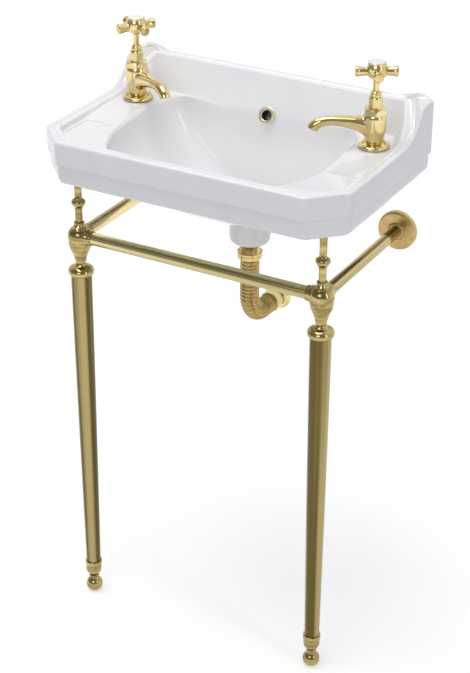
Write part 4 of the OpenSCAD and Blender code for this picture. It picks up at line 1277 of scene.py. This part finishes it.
@dataclass
class Waste:
    """The waste with its plug, nuts, ribbed pipe and wall plate."""

    shop: Workshop
    flange_z: float = 698.0
    tail_z: float = 622.0
    pipe_top: float = 620.0
    pipe_end: float = -22.0
    bend: float = 45.0
    pipe_radius: float = 15.75
    rib_depth: float = 1.6
    rib_pitch: float = 6.0
    pipe_bore: float = 11.5
    thread_radius: float = 16.6
    thread_pitch: float = 1.8
    thread_depth: float = 0.8
    thread_turns: int = 15

    def place(self) -> Matrix:
        """The move to the axis of the waste."""
        return at(y=WASTE_Y)

    def body(self) -> Shape:
        """The slotted, threaded waste body with its flange and the guide of the plug."""
        z, thread = self.flange_z, self.thread_radius
        valley = thread - self.thread_depth
        pitch, low = self.thread_pitch, self.tail_z + 1
        teeth = []
        for k in range(self.thread_turns):
            teeth += [(thread, low + k * pitch), (valley, low + (k + 0.5) * pitch)]
        shell = turned([
            (13.5, self.tail_z), (valley, self.tail_z), *teeth, (thread, BOSS + 8), (thread, z),
            (31, z), (31, z + 1.1, 0.4), (28.6, z + 2.2, 0.9), (19, z + 1.6, 0.6), (15, z - 1.5),
            (13.5, z - 4, 0.5),
        ], ring=True)
        guide = turned([(0, z - 22), (6.5, z - 22), (6.5, z - 16), (0, z - 16)])
        bars = spokes((0, -1.25, z - 22), (14.5, 1.25, z - 16), (0, 120, 240))
        made = combined(shell, [guide, *bars], Cut.ADD)
        slots = spokes((-33, -4, BOSS + 20), (33, 4, BOSS + 31), (0, 90), 1.5)
        return combined(made, [bore(4.05, z - 24, z - 14), *slots], Cut.REMOVE)

    def union_nut(self) -> Shape:
        """The union nut, with a bead over a knurled band."""
        low, lip = self.pipe_top - 5, 20.5
        band = (low + 1.6, low + 7.6)
        bm = turned([
            (15.9, low), (lip - 2, low, 0.4), (lip - 1, low + 1.2), (lip - 1, band[0]),
            (lip - 1, band[1]), (lip - 1, low + 8), (lip, low + 9, 0.4), (lip, low + 12, 0.6),
            (lip - 1.5, low + 12, 0.5), (lip - 2.1, low + 9.6, 0.3), (16.7, low + 9.6),
            (16.7, low + 5), (15.9, low + 5),
        ], 72, ring=True)
        faces = [
            f for f in bm.faces
            if band[0] < f.calc_center_median().z < band[1]
            and f.calc_center_median().xy.length > lip - 2
        ]
        bmesh.ops.inset_individual(bm, faces=faces, thickness=0.25, depth=0.45)
        return bm

    def pipe(self) -> Shape:
        """The ribbed pipe, turned straight and then laid along its route."""
        drop = self.pipe_top - OUTLET - self.bend
        arc = self.bend * math.pi / 2
        run = -WASTE_Y + self.pipe_end - self.bend
        length = drop + arc + run
        count = int(length / self.rib_pitch)
        valley, crest = self.pipe_radius - self.rib_depth, self.pipe_radius
        step = length / count
        outside = [(valley, 0.0)]
        for k in range(count):
            outside += [
                (r, (k + share) * step)
                for r, share in (
                    (valley, 0.12), (crest - 0.4, 0.26), (crest, 0.38), (crest, 0.5),
                    (crest - 0.4, 0.62), (valley, 0.78),
                )
            ]
        outside.append((valley, length))
        inside = [(self.pipe_bore, length - k * step) for k in range(count + 1)]
        bm = turned([*outside, *inside], 48, ring=True)
        for vert in bm.verts:
            x, y, s = vert.co
            if s <= drop:
                vert.co = (x, WASTE_Y + y, self.pipe_top - s)
            elif s >= drop + arc:
                vert.co = (x, WASTE_Y + self.bend + s - drop - arc, OUTLET + y)
            else:
                turn = (s - drop) / self.bend
                reach = self.bend - y
                vert.co = (
                    x, WASTE_Y + self.bend - reach * math.cos(turn),
                    OUTLET + self.bend - reach * math.sin(turn),
                )
        bmesh.ops.recalc_face_normals(bm, faces=bm.faces)
        return bm

    def build(self) -> None:
        """Makes each piece of the waste."""
        shop, z, place = self.shop, self.flange_z, self.place()
        shop.piece("waste_fitting", moved(self.body(), place), Finish.POLISHED, ["waste_body"], 30)
        plug = turned([
            (0, z + 5), (6, z + 4.9), (11, z + 4.5), (15.5, z + 3.6, 1.2), (18, z + 2.4, 0.5),
            (18, z + 1.9, 0.4), (16, z + 0.2), (10, z + 0.2), (10, z - 2), (11.5, z - 2),
            (11.5, z - 3.5, 0.5), (4, z - 3.5), (4, z - 30, 0.8), (0, z - 30),
        ])
        shop.piece("waste_stopper_cap", moved(plug, place), Finish.POLISHED, ["waste_plug"])
        nut_low = BOSS + 0.5
        nut = turned([
            (16.7, nut_low), (17.5, nut_low, 0.4), (20.5, nut_low + 2, 0.8),
            (20.5, nut_low + 5, 0.4), (16.7, nut_low + 5),
        ], ring=True)
        keys = spokes((-41, -2, nut_low - 1), (41, 2, nut_low + 1.5), (0, 90))
        nut = combined(nut, keys, Cut.REMOVE)
        shop.piece("waste_lock_nut", moved(nut, place), Finish.POLISHED, ["waste_back_nut"])
        union = moved(self.union_nut(), place)
        shop.piece("waste_coupling", union, Finish.POLISHED, ["waste_union_nut"], 25)
        shop.piece("ribbed_pipe", self.pipe(), Finish.RIBBED, ["waste_pipe"], 50)
        to_wall = at(z=OUTLET) @ spun(-90, "X")
        end = self.pipe_end
        nut = turned([
            (15.9, end - 11), (16.8, end - 11, 0.3), (17.8, end - 9, 0.4), (17.8, end + 3, 0.5),
            (17, end + 6, 0.4), (16.1, end + 6), (16.1, end), (15.9, end),
        ], ring=True)
        shop.piece("wall_coupling", moved(nut, to_wall), Finish.POLISHED, ["waste_wall_nut"])
        tail = turned([
            (13.5, end), (16, end), (16, 2), (15.4, 2), (15.4, 3.5), (16, 3.5), (16, 25, 0.6),
            (13.5, 25, 0.6),
        ], ring=True)
        shop.piece("outlet_tail", moved(tail, to_wall), Finish.POLISHED, ["waste_outlet"])
        rosette = turned([
            (16.05, 0), (23.5, 0), (23.5, -1.5, 0.6), (20.9, -4, 1.0), (19.2, -6, 1.0),
            (18.5, -11, 0.7), (16.05, -11),
        ], ring=True)
        rosette = moved(rosette, to_wall)
        shop.piece("outlet_rosette", rosette, Finish.POLISHED, ["waste_wall_rosette"])


# The taps


@dataclass
class PillarTap:
    """One pillar tap: a cast body with its spout, a bonnet with a hexagon, and a cross handle."""

    shop: Workshop
    side: Side
    spout_turn: float = 30.0
    reach: float = 91.0
    seat: float = 844.5
    body_top: float = 895.0
    handle_z: float = 947.0
    tail_radius: float = 10.4775
    tail_end: float = 785.0
    tail_groove: tuple[float, float] = (CEILING - 13.5, CEILING - 11.5)
    thread_pitch: float = 1.814
    thread_depth: float = 0.9
    bonnet_corners: float = 17.61
    nut_corners: float = 16.74
    spout_sides: int = 40
    # The waterway runs past the mouth, and is flatter in the first sections, inside the body
    mouth_run: float = 3.0
    root_sections: int = 4
    root_share: float = 0.7
    casting_grain: float = 0.65
    casting_passes: int = 6

    @property
    def word(self) -> str:
        """The name of the tap in the CAD nodes."""
        return "hot" if self.side is Side.LEFT else "cold"

    def place(self) -> Matrix:
        """The move that sets a tap drawn with its spout along X in its hole."""
        return mirrored(self.side) @ at(TAP_X, TAP_Y) @ spun(180 + self.spout_turn, "Z")

    def piece(
        self, name: str, bm: Shape, finish: Finish, node: str, crease: float = 38.0
    ) -> None:
        """Finishes a piece of this tap.

        Args:
            name: Name of the piece without the tap's own word.
            bm: The shape on the tap's axis, which is used up.
            finish: Its finish.
            node: Name of its CAD node without the tap's word.
            crease: Angle in degrees past which an edge stays sharp.
        """
        self.shop.piece(
            f"{self.word}_{name}", moved(bm, self.place()), finish, [f"{self.word}_{node}"], crease
        )

    def spout(self, thin: float) -> Shape:
        """The spout, or its waterway.

        Args:
            thin: Thickness that is taken off all round for the waterway, or 0.

        Returns:
            The closed shape.
        """
        # Share of the reach, height, half width and height, heading and squareness by section
        sections = [
            (0.05, -19.5, 11.4, 13.6, 0, 2.3), (0.13, -19.8, 11.5, 14.8, 0, 2.3),
            (0.18, -18.6, 11.4, 13.9, 2, 2.3), (0.24, -16.6, 11.0, 12.2, 3, 2.4),
            (0.31, -14.8, 10.5, 10.8, 3, 2.5), (0.40, -13.3, 9.8, 9.4, 2, 2.6),
            (0.48, -12.2, 9.3, 8.4, 2, 2.6), (0.57, -11.3, 8.9, 7.7, 1, 2.6),
            (0.65, -10.8, 8.6, 7.3, 0, 2.6), (0.72, -10.7, 8.4, 7.2, -3, 2.5),
            (0.78, -11.0, 8.4, 7.4, -9, 2.4), (0.83, -11.8, 8.4, 7.7, -16, 2.3),
            (0.875, -13.0, 8.5, 8.0, -24, 2.2), (0.92, -15.0, 8.5, 8.3, -34, 2.1),
            (0.955, -17.3, 8.6, 8.5, -45, 2.0), (0.98, -20.0, 8.6, 8.5, -56, 2.0),
            (1.0, -23.6, 8.6, 8.6, -66, 2.0),
        ]
        loops = []
        for number, (share, height, wide, tall, heading, square) in enumerate(sections):
            push = self.mouth_run if thin and number == len(sections) - 1 else 0.0
            if thin and number < self.root_sections:
                tall *= self.root_share
            tilt = math.radians(heading)
            loop = []
            for k in range(self.spout_sides):
                angle = FULL_TURN * k / self.spout_sides
                c, s = math.cos(angle), math.sin(angle)
                across = math.copysign(abs(c) ** (2 / square), c) * (wide - thin)
                up = math.copysign(abs(s) ** (2 / square), s) * (tall - thin)
                loop.append(Vector((
                    share * self.reach - up * math.sin(tilt) + push * math.cos(tilt),
                    across,
                    self.body_top + height + up * math.cos(tilt) + push * math.sin(tilt),
                )))
            loops.append(loop)
        return lofted(loops)

    def body(self) -> Shape:
        """The cast body with its dished foot, threaded tail, chamber and waterway."""
        z, top = self.seat, self.body_top
        bell = turned([
            (0, z + 4), (13.6, z + 4), (13.6, z + 8), (14.2, z + 12), (14.9, z + 17),
            (16.1, z + 21), (17.2, z + 25.5), (17.5, z + 30), (17.5, z + 46), (16.6, z + 49.2),
            (15.5, top + 1.2), (0, top + 1.2),
        ], FINE_STEPS)
        mesh = bpy.data.meshes.new("spout")
        spout = self.spout(0.0)
        spout.to_mesh(mesh)
        spout.free()
        bell.from_mesh(mesh)
        bpy.data.meshes.remove(mesh)
        casting = cast(bell, self.casting_grain, self.casting_passes)
        casting = combined(casting, [bore(140, z + 6.5, top)], Cut.KEEP)
        foot = turned([
            (0, z), (23.5, z), (23.5, z + 2.2, 0.8), (21.4, z + 4.5, 1.0), (18.6, z + 4.5, 0.8),
            (17.2, z + 3.6, 0.5), (16.4, z + 1.3, 0.5), (11.6, z + 1.1), (11.6, z + 7), (0, z + 7),
        ])
        radius, pitch, groove = self.tail_radius, self.thread_pitch, self.tail_groove
        valley = radius - self.thread_depth
        lower, upper = (
            [
                point
                for k in range(count)
                for point in ((radius, start + pitch * k), (valley, start + pitch * (k + 0.5)))
            ]
            for start, count in ((self.tail_end + 1, 16), (groove[1], 7))
        )
        tail = turned([
            (0, self.tail_end), (valley, self.tail_end), *lower, (radius - 1, groove[0]),
            (radius - 1, groove[1]), *upper, (radius, CEILING + 2), (radius, z + 1), (0, z + 1),
        ], FINE_STEPS)
        made = combined(casting, [foot, tail], Cut.ADD)
        cutters = [
            bore(9.5, z + 17, top + 2), bore(12.5, top - 11, top + 2),
            bore(7, self.tail_end - 1, z + 18), self.spout(2.6),
        ]
        return combined(made, cutters, Cut.REMOVE)

    def bonnet(self) -> Shape:
        """The bonnet with its chamfered hexagon."""
        z = self.body_top
        flats = hexagon(self.bonnet_corners, z, 9, [
            (0, z), (16.9, z), (17.8, z + 1), (17.8, z + 6), (15.2, z + 9), (0, z + 9),
        ])
        sleeve = turned([
            (0, z - 10), (12.4, z - 10), (12.4, z + 4), (11.8, z + 9), (10.25, z + 11, 0.8),
            (10.25, z + 24.5, 0.7), (9.4, z + 26.5), (0, z + 26.5),
        ])
        made = combined(flats, [sleeve], Cut.ADD)
        return combined(made, [bore(4.8, z - 12, z + 28)], Cut.REMOVE)

    def handle(self) -> Shape:
        """The cross handle: a barrel hub with four flared arms and a seat for the index disc."""
        z = self.handle_z
        hub = turned([
            (0, z), (5.8, z, 0.5), (7.3, z + 1.6, 0.8), (12.8, z + 5, 1.6), (15.3, z + 9, 2),
            (15.5, z + 14, 2), (15.3, z + 19.5, 1.6), (14.2, z + 23, 1), (13.5, z + 25, 0.4),
            (13.7, z + 26.4, 0.4), (13.4, z + 27, 0.3), (0, z + 27),
        ])
        arms = []
        for turn in (0, 90, 180, 270):
            arm = turned([
                (0, 4.5), (6.6, 4.5), (6.5, 16), (6.7, 20), (7.1, 24), (7.7, 26.6, 0.5),
                (8, 27.6, 0.4), (8, 30.4, 0.9), (6.3, 31.8, 0.8), (0, 32),
            ], FINE_STEPS)
            arms.append(moved(arm, at(z=z + 12.7) @ spun(turn, "Z") @ spun(90, "Y")))
        made = combined(hub, arms, Cut.ADD)
        cutters = [
            bore(4.8, z - 1, z + 6), bore(3.8, z + 5, z + 18.2), bore(2.15, z + 5, z + 30),
            bore(4, z + 21.5, z + 25.5), bore(12.8, z + 24.5, z + 30),
        ]
        return combined(made, cutters, Cut.REMOVE)

    def build(self) -> None:
        """Makes each piece of the tap."""
        z = self.body_top
        self.piece("pillar_body", self.body(), Finish.POLISHED, "tap_body", 40)
        self.piece("bonnet_sleeve", self.bonnet(), Finish.POLISHED, "tap_bonnet", 30)
        gland = turned([
            (4.8, z + 26.5), (8.2, z + 26.5, 0.3), (8.5, z + 27.6, 0.4), (8.5, z + 30.2, 0.4),
            (7.7, z + 30.9, 0.2), (8.3, z + 31.6, 0.3), (8.1, z + 33, 0.5), (6.2, z + 35, 0.5),
            (4.8, z + 35),
        ], ring=True)
        self.piece("gland_cap", gland, Finish.POLISHED, "gland_nut", 30)
        low = z - 18
        stem = turned([
            (0, low), (4.75, low, 0.4), (4.75, z + 58), (3.75, z + 58), (3.75, z + 70, 0.4),
            (1.65, z + 70), (1.65, z + 58), (0, z + 58),
        ])
        self.piece("stem", stem, Finish.POLISHED, "spindle")
        self.piece("cross_head", self.handle(), Finish.POLISHED, "handle", 30)
        top = self.handle_z + 24.5
        disc = turned([
            (0, top), (12.7, top, 0.3), (12.7, top + 2.6, 0.5), (11.8, top + 3.6, 0.8),
            (8, top + 3.95), (4, top + 4), (0, top + 4),
        ])
        self.piece("index_button", disc, Finish.INDEX, "index")
        nut = hexagon(self.nut_corners, CEILING - 10, 8, [
            (0, CEILING - 10), (14.5, CEILING - 10), (16.8, CEILING - 8.8), (16.8, CEILING - 2),
            (0, CEILING - 2),
        ])
        nut = combined(nut, [bore(10.58, CEILING - 11, CEILING)], Cut.REMOVE)
        self.piece("lock_nut", nut, Finish.POLISHED, "tap_back_nut", 30)


# The stand


@dataclass
class Stand:
    """The brass stand: rails, ball joints, support posts, legs and wall flanges."""

    shop: Workshop
    rail_radius: float = 10.0
    rail_bore: float = 8.5
    ball_radius: float = 19.0
    socket_end: float = 24.0
    rail_end: float = 11.0
    joint_foot: float = 626.0
    post_low: float = 683.0
    post_top: float = 781.0
    tube_top: float = 606.0
    tube_foot: float = 62.0
    cup_low: float = 34.0
    wall_gap: float = 5.0
    post_ring_share: float = 0.459
    flare_height: float = 21.6
    leg_foot_radius: float = 12.0
    leg_swell: float = 4.5
    leg_curve: float = 1.35
    leg_sections: int = 24
    foot_middle: float = 13.3
    foot_radius: float = 14.0

    def leg(self, side: Side) -> Matrix:
        """The move to the axis of a leg."""
        return mirrored(side) @ at(LEG_X, LEG_Y)

    def rail(self, length: float) -> Shape:
        """A tube of a given length."""
        return turned([
            (self.rail_bore, 0), (self.rail_radius, 0, 0.4), (self.rail_radius, length, 0.4),
            (self.rail_bore, length),
        ], FINE_STEPS, ring=True)

    def joint(self) -> Shape:
        """A ball joint with its two sockets, cup, neck and foot."""
        ball = bmesh.new()
        bmesh.ops.create_uvsphere(ball, u_segments=72, v_segments=48, radius=self.ball_radius)
        bmesh.ops.translate(ball, vec=(0, 0, RAIL), verts=ball.verts)
        top, foot = RAIL + self.ball_radius, self.joint_foot
        cup = turned([
            (0, foot), (8.2, foot, 0.3), (8.5, foot + 2), (9.4, foot + 6.5, 1),
            (10.4, foot + 11, 1), (11.9, foot + 15.7, 1), (14.2, foot + 21, 1.2),
            (16.6, foot + 26.5, 1.2), (17.6, foot + 32, 0.6), (18.1, foot + 36, 0.6),
            (18, foot + 38.4, 0.5), (17, foot + 39.2), (12, RAIL), (10.8, top - 5),
            (8.4, top - 0.5, 0.6), (7.5, top + 1.5, 0.5), (8.5, top + 3.1, 0.5),
            (8.4, top + 4.4, 0.4), (7.6, top + 5, 0.3), (0, top + 5),
        ])
        end = self.socket_end
        ways = [at(z=RAIL) @ spun(-90, axis) for axis in "YX"]
        sockets = [
            moved(turned([
                (0, 8), (14, 8), (14, 15.6, 1.2), (12.4, 18.6, 1.0), (12.2, 22.8, 0.5),
                (11.4, end, 0.5), (0, end),
            ], FINE_STEPS), way)
            for way in ways
        ]
        made = combined(ball, [cup, *sockets], Cut.ADD)
        cutters = [bore(5.8, RAIL + 2, RAIL + 40), bore(5.1, foot - 1, foot + 16)]
        cutters += [moved(bore(10.05, self.rail_end, 40), way) for way in ways]
        cutters += [
            moved(bore(2.05, 0, 10, 24), spun(turn, "Z") @ at(20.5, 0, RAIL - 20))
            for turn in (180, 90)
        ]
        return combined(made, cutters, Cut.REMOVE)

    def post(self) -> Shape:
        """A support post with its ring and the flare under the basin."""
        ring = self.post_low + (self.post_top - self.post_low) * self.post_ring_share
        flare = self.post_top - self.flare_height
        return turned([
            (0, self.post_low), (5.75, self.post_low, 0.5), (5.75, ring - 10.4), (7, ring - 9, 0.4),
            (6.4, ring - 8, 0.3), (7.4, ring - 6.6, 0.8), (9.6, ring - 3.6, 1.2),
            (11.2, ring - 0.6, 1.4), (11.25, ring + 2.2, 1.4), (9.6, ring + 4.6, 1.2),
            (6.9, ring + 6.4, 0.6), (5.75, ring + 9), (5.75, flare, 3.0), (6.75, flare + 8, 2.4),
            (8.75, flare + 14.6, 1.8), (12.5, flare + 18.4, 0.8), (12.5, self.post_top, 0.5),
            (0, self.post_top),
        ], FINE_STEPS)

    def collar(self) -> Shape:
        """The collar that tops a leg."""
        z, foot = self.tube_top, self.joint_foot
        made = turned([
            (0, z - 28), (9.9, z - 28, 0.6), (9.9, z), (17.2, z, 0.3), (19.6, z + 2, 0.8),
            (20.7, z + 5.5, 1.4), (20.4, z + 8.8, 1.2), (18.5, z + 12, 1.4), (15.1, z + 14.6, 1.2),
            (11, z + 16.4, 1.0), (8.7, z + 18.4, 0.6), (8.2, foot, 0.2), (5, foot), (5, foot + 15),
            (0, foot + 15),
        ])
        return combined(made, [bore(5, z - 29, z - 5)], Cut.REMOVE)

    def tube(self) -> Shape:
        """A tapered leg, slightly swelling towards its top."""
        span = self.tube_top - self.tube_foot
        swell = []
        for k in range(self.leg_sections + 1):
            out = 1 - (1 - k / self.leg_sections) ** self.leg_curve
            swell.append((
                self.leg_foot_radius + self.leg_swell * out,
                self.tube_foot + span * k / self.leg_sections,
            ))
        return turned([(10, self.tube_foot), *swell, (10, self.tube_top)], ring=True)

    def cup(self) -> Shape:
        """The double ringed cup at the foot of a leg."""
        z = self.cup_low
        return turned([
            (4.05, z), (8, z, 0.4), (10, z + 2, 0.8), (12.2, z + 5, 1.0), (13.2, z + 8.5, 1.2),
            (13.2, z + 18.5, 0.5), (12.8, z + 19.2, 0.2), (13.6, z + 19.9, 0.3),
            (14.3, z + 20.8, 0.5), (14.3, z + 26.8, 0.6), (13.8, z + 28, 0.3), (9.9, z + 28),
            (9.9, z + 46, 0.5), (4.05, z + 46),
        ], ring=True)

    def ball_foot(self) -> Shape:
        """The ball foot with its small flat, neck ring and levelling stud."""
        middle, r = self.foot_middle, self.foot_radius
        ball = []
        for degrees in range(-70, 51, 5):
            a = math.radians(degrees)
            ball.append((r * math.cos(a), middle + r * math.sin(a)))
        return turned([
            (0, 0), (4.37, 0, 0.2), *ball, (7.2, 25.4, 0.6), (6.7, 27.5, 0.5), (8, 29.4, 0.6),
            (8.6, 31, 0.6), (8, 32.6, 0.5), (4, 33.7), (4, 56, 0.6), (0, 56),
        ])

    def cover(self) -> Shape:
        """The round cover of a wall flange."""
        return turned([
            (30.5, 0), (32, 0), (32, 5.8, 1.0), (30.8, 7.9, 1.0), (28.4, 8.9, 1.2), (14.2, 9, 0.6),
            (13.4, 11.6, 0.6), (12.2, 13, 0.6), (10.05, 13), (10.05, 7), (27.5, 6.9), (30.5, 4.9),
        ], ring=True)

    def build(self) -> None:
        """Makes each piece of the stand."""
        shop = self.shop
        length = 2 * (LEG_X - self.rail_end)
        front = moved(self.rail(length), at(-length / 2, LEG_Y, RAIL) @ spun(90, "Y"))
        shop.piece("front_rail_tube", front, Finish.BRUSHED_ACROSS, ["front_rail"])
        for side in Side:
            word, leg = side.name.lower(), self.leg(side)
            span = -LEG_Y - self.wall_gap - self.rail_end
            rail = moved(self.rail(span), leg @ at(0, self.rail_end, RAIL) @ spun(-90, "X"))
            parts = [
                ("rail_tube", rail, Finish.DRAWN_INWARDS, "rail"),
                ("ball", moved(self.joint(), leg), Finish.TURNED, "ball_joint"),
                ("post", moved(self.post(), leg), Finish.TURNED, "support_post"),
                ("collar", moved(self.collar(), leg), Finish.TURNED, "leg_collar"),
                ("tube", moved(self.tube(), leg), Finish.BRUSHED_UP, "leg_tube"),
                ("cup", moved(self.cup(), leg), Finish.TURNED, "foot_cup"),
                ("foot", moved(self.ball_foot(), leg), Finish.TURNED, "ball_foot"),
                ("flange", moved(self.cover(), at(side.value * LEG_X, 0, RAIL) @ spun(90, "X")),
                 Finish.SATIN, "wall_cover"),
            ]
            for name, bm, finish, node in parts:
                shop.piece(f"{word}_{name}", bm, finish, [f"{word}_{node}"], 32)


# The studio


@dataclass
class Studio:
    """The pale floor and backdrop, soft lamps and the photograph's camera."""

    focal_px: float = 1773.7
    frame_px: tuple[int, int] = (470, 673)
    centre_px: tuple[float, float] = (234.54, 361.98)
    azimuth: float = 29.07
    elevation: float = 29.08
    roll: float = 0.216
    eye: tuple[float, float, float] = (1211.22, -2326.57, 1835.24)
    # The floor's glow, near and far, the distances in metres over which it grows, and the share
    # of a ray's way to the wall over which a reflection turns from the studio to the backdrop
    floor_glow: tuple[float, float] = (0.45, 0.75)
    glow_span: tuple[float, float] = (1.0, 3.0)
    backdrop_span: tuple[float, float] = (-0.3, 0.2)
    lamp_aim: tuple[float, float, float] = (0, -0.16, -0.1)

    def camera(self) -> None:
        """Sets the camera where the photograph was taken from."""
        data = bpy.data.cameras.new("camera")
        wide, high = self.frame_px
        data.sensor_fit = "VERTICAL"
        data.sensor_height = 36.0
        data.lens = self.focal_px * data.sensor_height / high
        data.shift_x = (wide / 2 - self.centre_px[0]) / high
        data.shift_y = (self.centre_px[1] - high / 2) / high
        data.clip_end = 60.0
        holder = bpy.data.objects.new("camera", data)
        bpy.context.scene.collection.objects.link(holder)
        turn = Euler((math.radians(90 - self.elevation), 0, math.radians(self.azimuth)), "XYZ")
        rolled = turn.to_matrix() @ Matrix.Rotation(math.radians(self.roll), 3, "Z")
        eye = Vector(self.eye) - Vector((0, 0, ORIGIN_HEIGHT))
        holder.matrix_world = Matrix.Translation(eye * METRES) @ rolled.to_4x4()
        bpy.context.scene.camera = holder

    def looked_at(self, tree: Tree) -> Socket:
        """1 for a ray that shows the background: straight on, through glass or in a reflection."""
        path = add_node(tree, "ShaderNodeLightPath")
        straight, glass, mirror = (
            path.outputs[f"Is {kind} Ray"] for kind in ("Camera", "Transmission", "Glossy")
        )
        either = add_node(
            tree, "ShaderNodeMath", feeds={0: straight, 1: glass}, operation="MAXIMUM"
        )
        seen = add_node(
            tree, "ShaderNodeMath", feeds={0: either.outputs[0], 1: mirror}, operation="MAXIMUM"
        )
        return seen.outputs[0]

    def behind(self, tree: Tree) -> Socket:
        """1 for a ray towards the white backdrop, and 0 for one towards the dimmer studio."""
        coords = add_node(tree, "ShaderNodeTexCoord")
        place = add_node(tree, "ShaderNodeSeparateXYZ", feeds={0: coords.outputs["Generated"]})
        path = add_node(tree, "ShaderNodeLightPath")
        start, end = self.backdrop_span
        to_wall = add_node(
            tree, "ShaderNodeMapRange", {"From Min": start, "From Max": end},
            {"Value": place.outputs["Y"]},
        )
        direct = add_node(
            tree, "ShaderNodeMath", {0: 1.0}, {1: path.outputs["Is Glossy Ray"]},
            operation="SUBTRACT",
        )
        either = add_node(
            tree, "ShaderNodeMath", feeds={0: direct.outputs[0], 1: to_wall.outputs["Result"]},
            operation="MAXIMUM",
        )
        both = add_node(
            tree, "ShaderNodeMath", feeds={0: either.outputs[0], 1: self.looked_at(tree)},
            operation="MULTIPLY",
        )
        return both.outputs[0]

    def backdrop(self) -> None:
        """Lays the pale floor, which keeps the shadow of the washstand."""
        bm = bmesh.new()
        bmesh.ops.create_grid(bm, x_segments=8, y_segments=8, size=9.0)
        bmesh.ops.translate(bm, vec=(0, 0, -ORIGIN_HEIGHT * METRES), verts=bm.verts)
        floor = to_object(bm, "floor")
        surface = Surface("pale_floor", {"Roughness": 0.9, "Emission Color": linear("#FFFFFF")})
        tree = surface.tree
        surface.feed(
            "Base Color", surface.tinted(surface.grain((400, 400, 400)), ("#F8F8F8", "#F4F4F4"))
        )
        # Tops the floor up to white where it is looked at, more so far off, and leaves the shadow
        far = add_node(tree, "ShaderNodeVectorMath", feeds={0: surface.place}, operation="LENGTH")
        (start, end), (near_glow, far_glow) = self.glow_span, self.floor_glow
        top_up = add_node(
            tree, "ShaderNodeMapRange",
            {"From Min": start, "From Max": end, "To Min": near_glow, "To Max": far_glow},
            {"Value": far.outputs["Value"]},
        )
        glow = add_node(
            tree, "ShaderNodeMath", feeds={0: self.looked_at(tree), 1: top_up.outputs["Result"]},
            operation="MULTIPLY",
        )
        surface.feed("Emission Strength", glow.outputs[0])
        floor.data.materials.append(surface.material)

    def world(self) -> None:
        """Lights the scene evenly, and shows white where the camera sees past the floor."""
        world = bpy.data.worlds.new("studio")
        bpy.context.scene.world = world
        world.use_nodes = True
        tree = world.node_tree
        tree.nodes.clear()
        soft, white = (
            add_node(tree, "ShaderNodeBackground", {"Color": linear(colour), "Strength": strength})
            for colour, strength in (("#E2E4EA", 0.4), ("#FFFFFF", 1.0))
        )
        both = add_node(
            tree, "ShaderNodeMixShader",
            feeds={0: self.behind(tree), 1: soft.outputs[0], 2: white.outputs[0]},
        )
        add_node(tree, "ShaderNodeOutputWorld", feeds={"Surface": both.outputs[0]})

    def lamp(
        self, name: str, place: Sequence[float], size: tuple[float, float], power: float
    ) -> None:
        """Hangs a soft rectangular lamp that faces the washstand.

        Args:
            name: Name of the lamp.
            place: Where it hangs, in metres.
            size: Its width and height, in metres.
            power: Its power in watts.
        """
        data = bpy.data.lights.new(name, "AREA")
        data.shape = "RECTANGLE"
        data.size, data.size_y = size
        data.energy = power
        holder = bpy.data.objects.new(name, data)
        bpy.context.scene.collection.objects.link(holder)
        facing = (Vector(self.lamp_aim) - Vector(place)).to_track_quat("-Z", "Y")
        holder.matrix_world = Matrix.Translation(place) @ facing.to_matrix().to_4x4()

    def build(self) -> None:
        """Sets up the studio."""
        self.camera()
        self.backdrop()
        self.world()
        self.lamp("overhead", (-0.35, -0.45, 2.4), (1.8, 1.6), 38)
        self.lamp("front", (0.3, -3.0, 1.3), (1.4, 1.0), 12)
        self.lamp("right", (2.8, -1.0, 0.9), (0.5, 2.2), 10)
        bpy.context.scene.view_settings.view_transform = "Standard"


def main() -> None:
    """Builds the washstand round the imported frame."""
    logging.basicConfig(level=logging.INFO, format="%(name)s: %(message)s", stream=sys.stdout)
    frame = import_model()
    Studio().build()
    shop = Workshop(frame["nodes"], frame["record"])
    shop.dress_nodes()
    Basin(shop).build()
    Waste(shop).build()
    for side in Side:
        PillarTap(shop, side).build()
    Stand(shop).build()


if __name__ == "__main__":
    main()
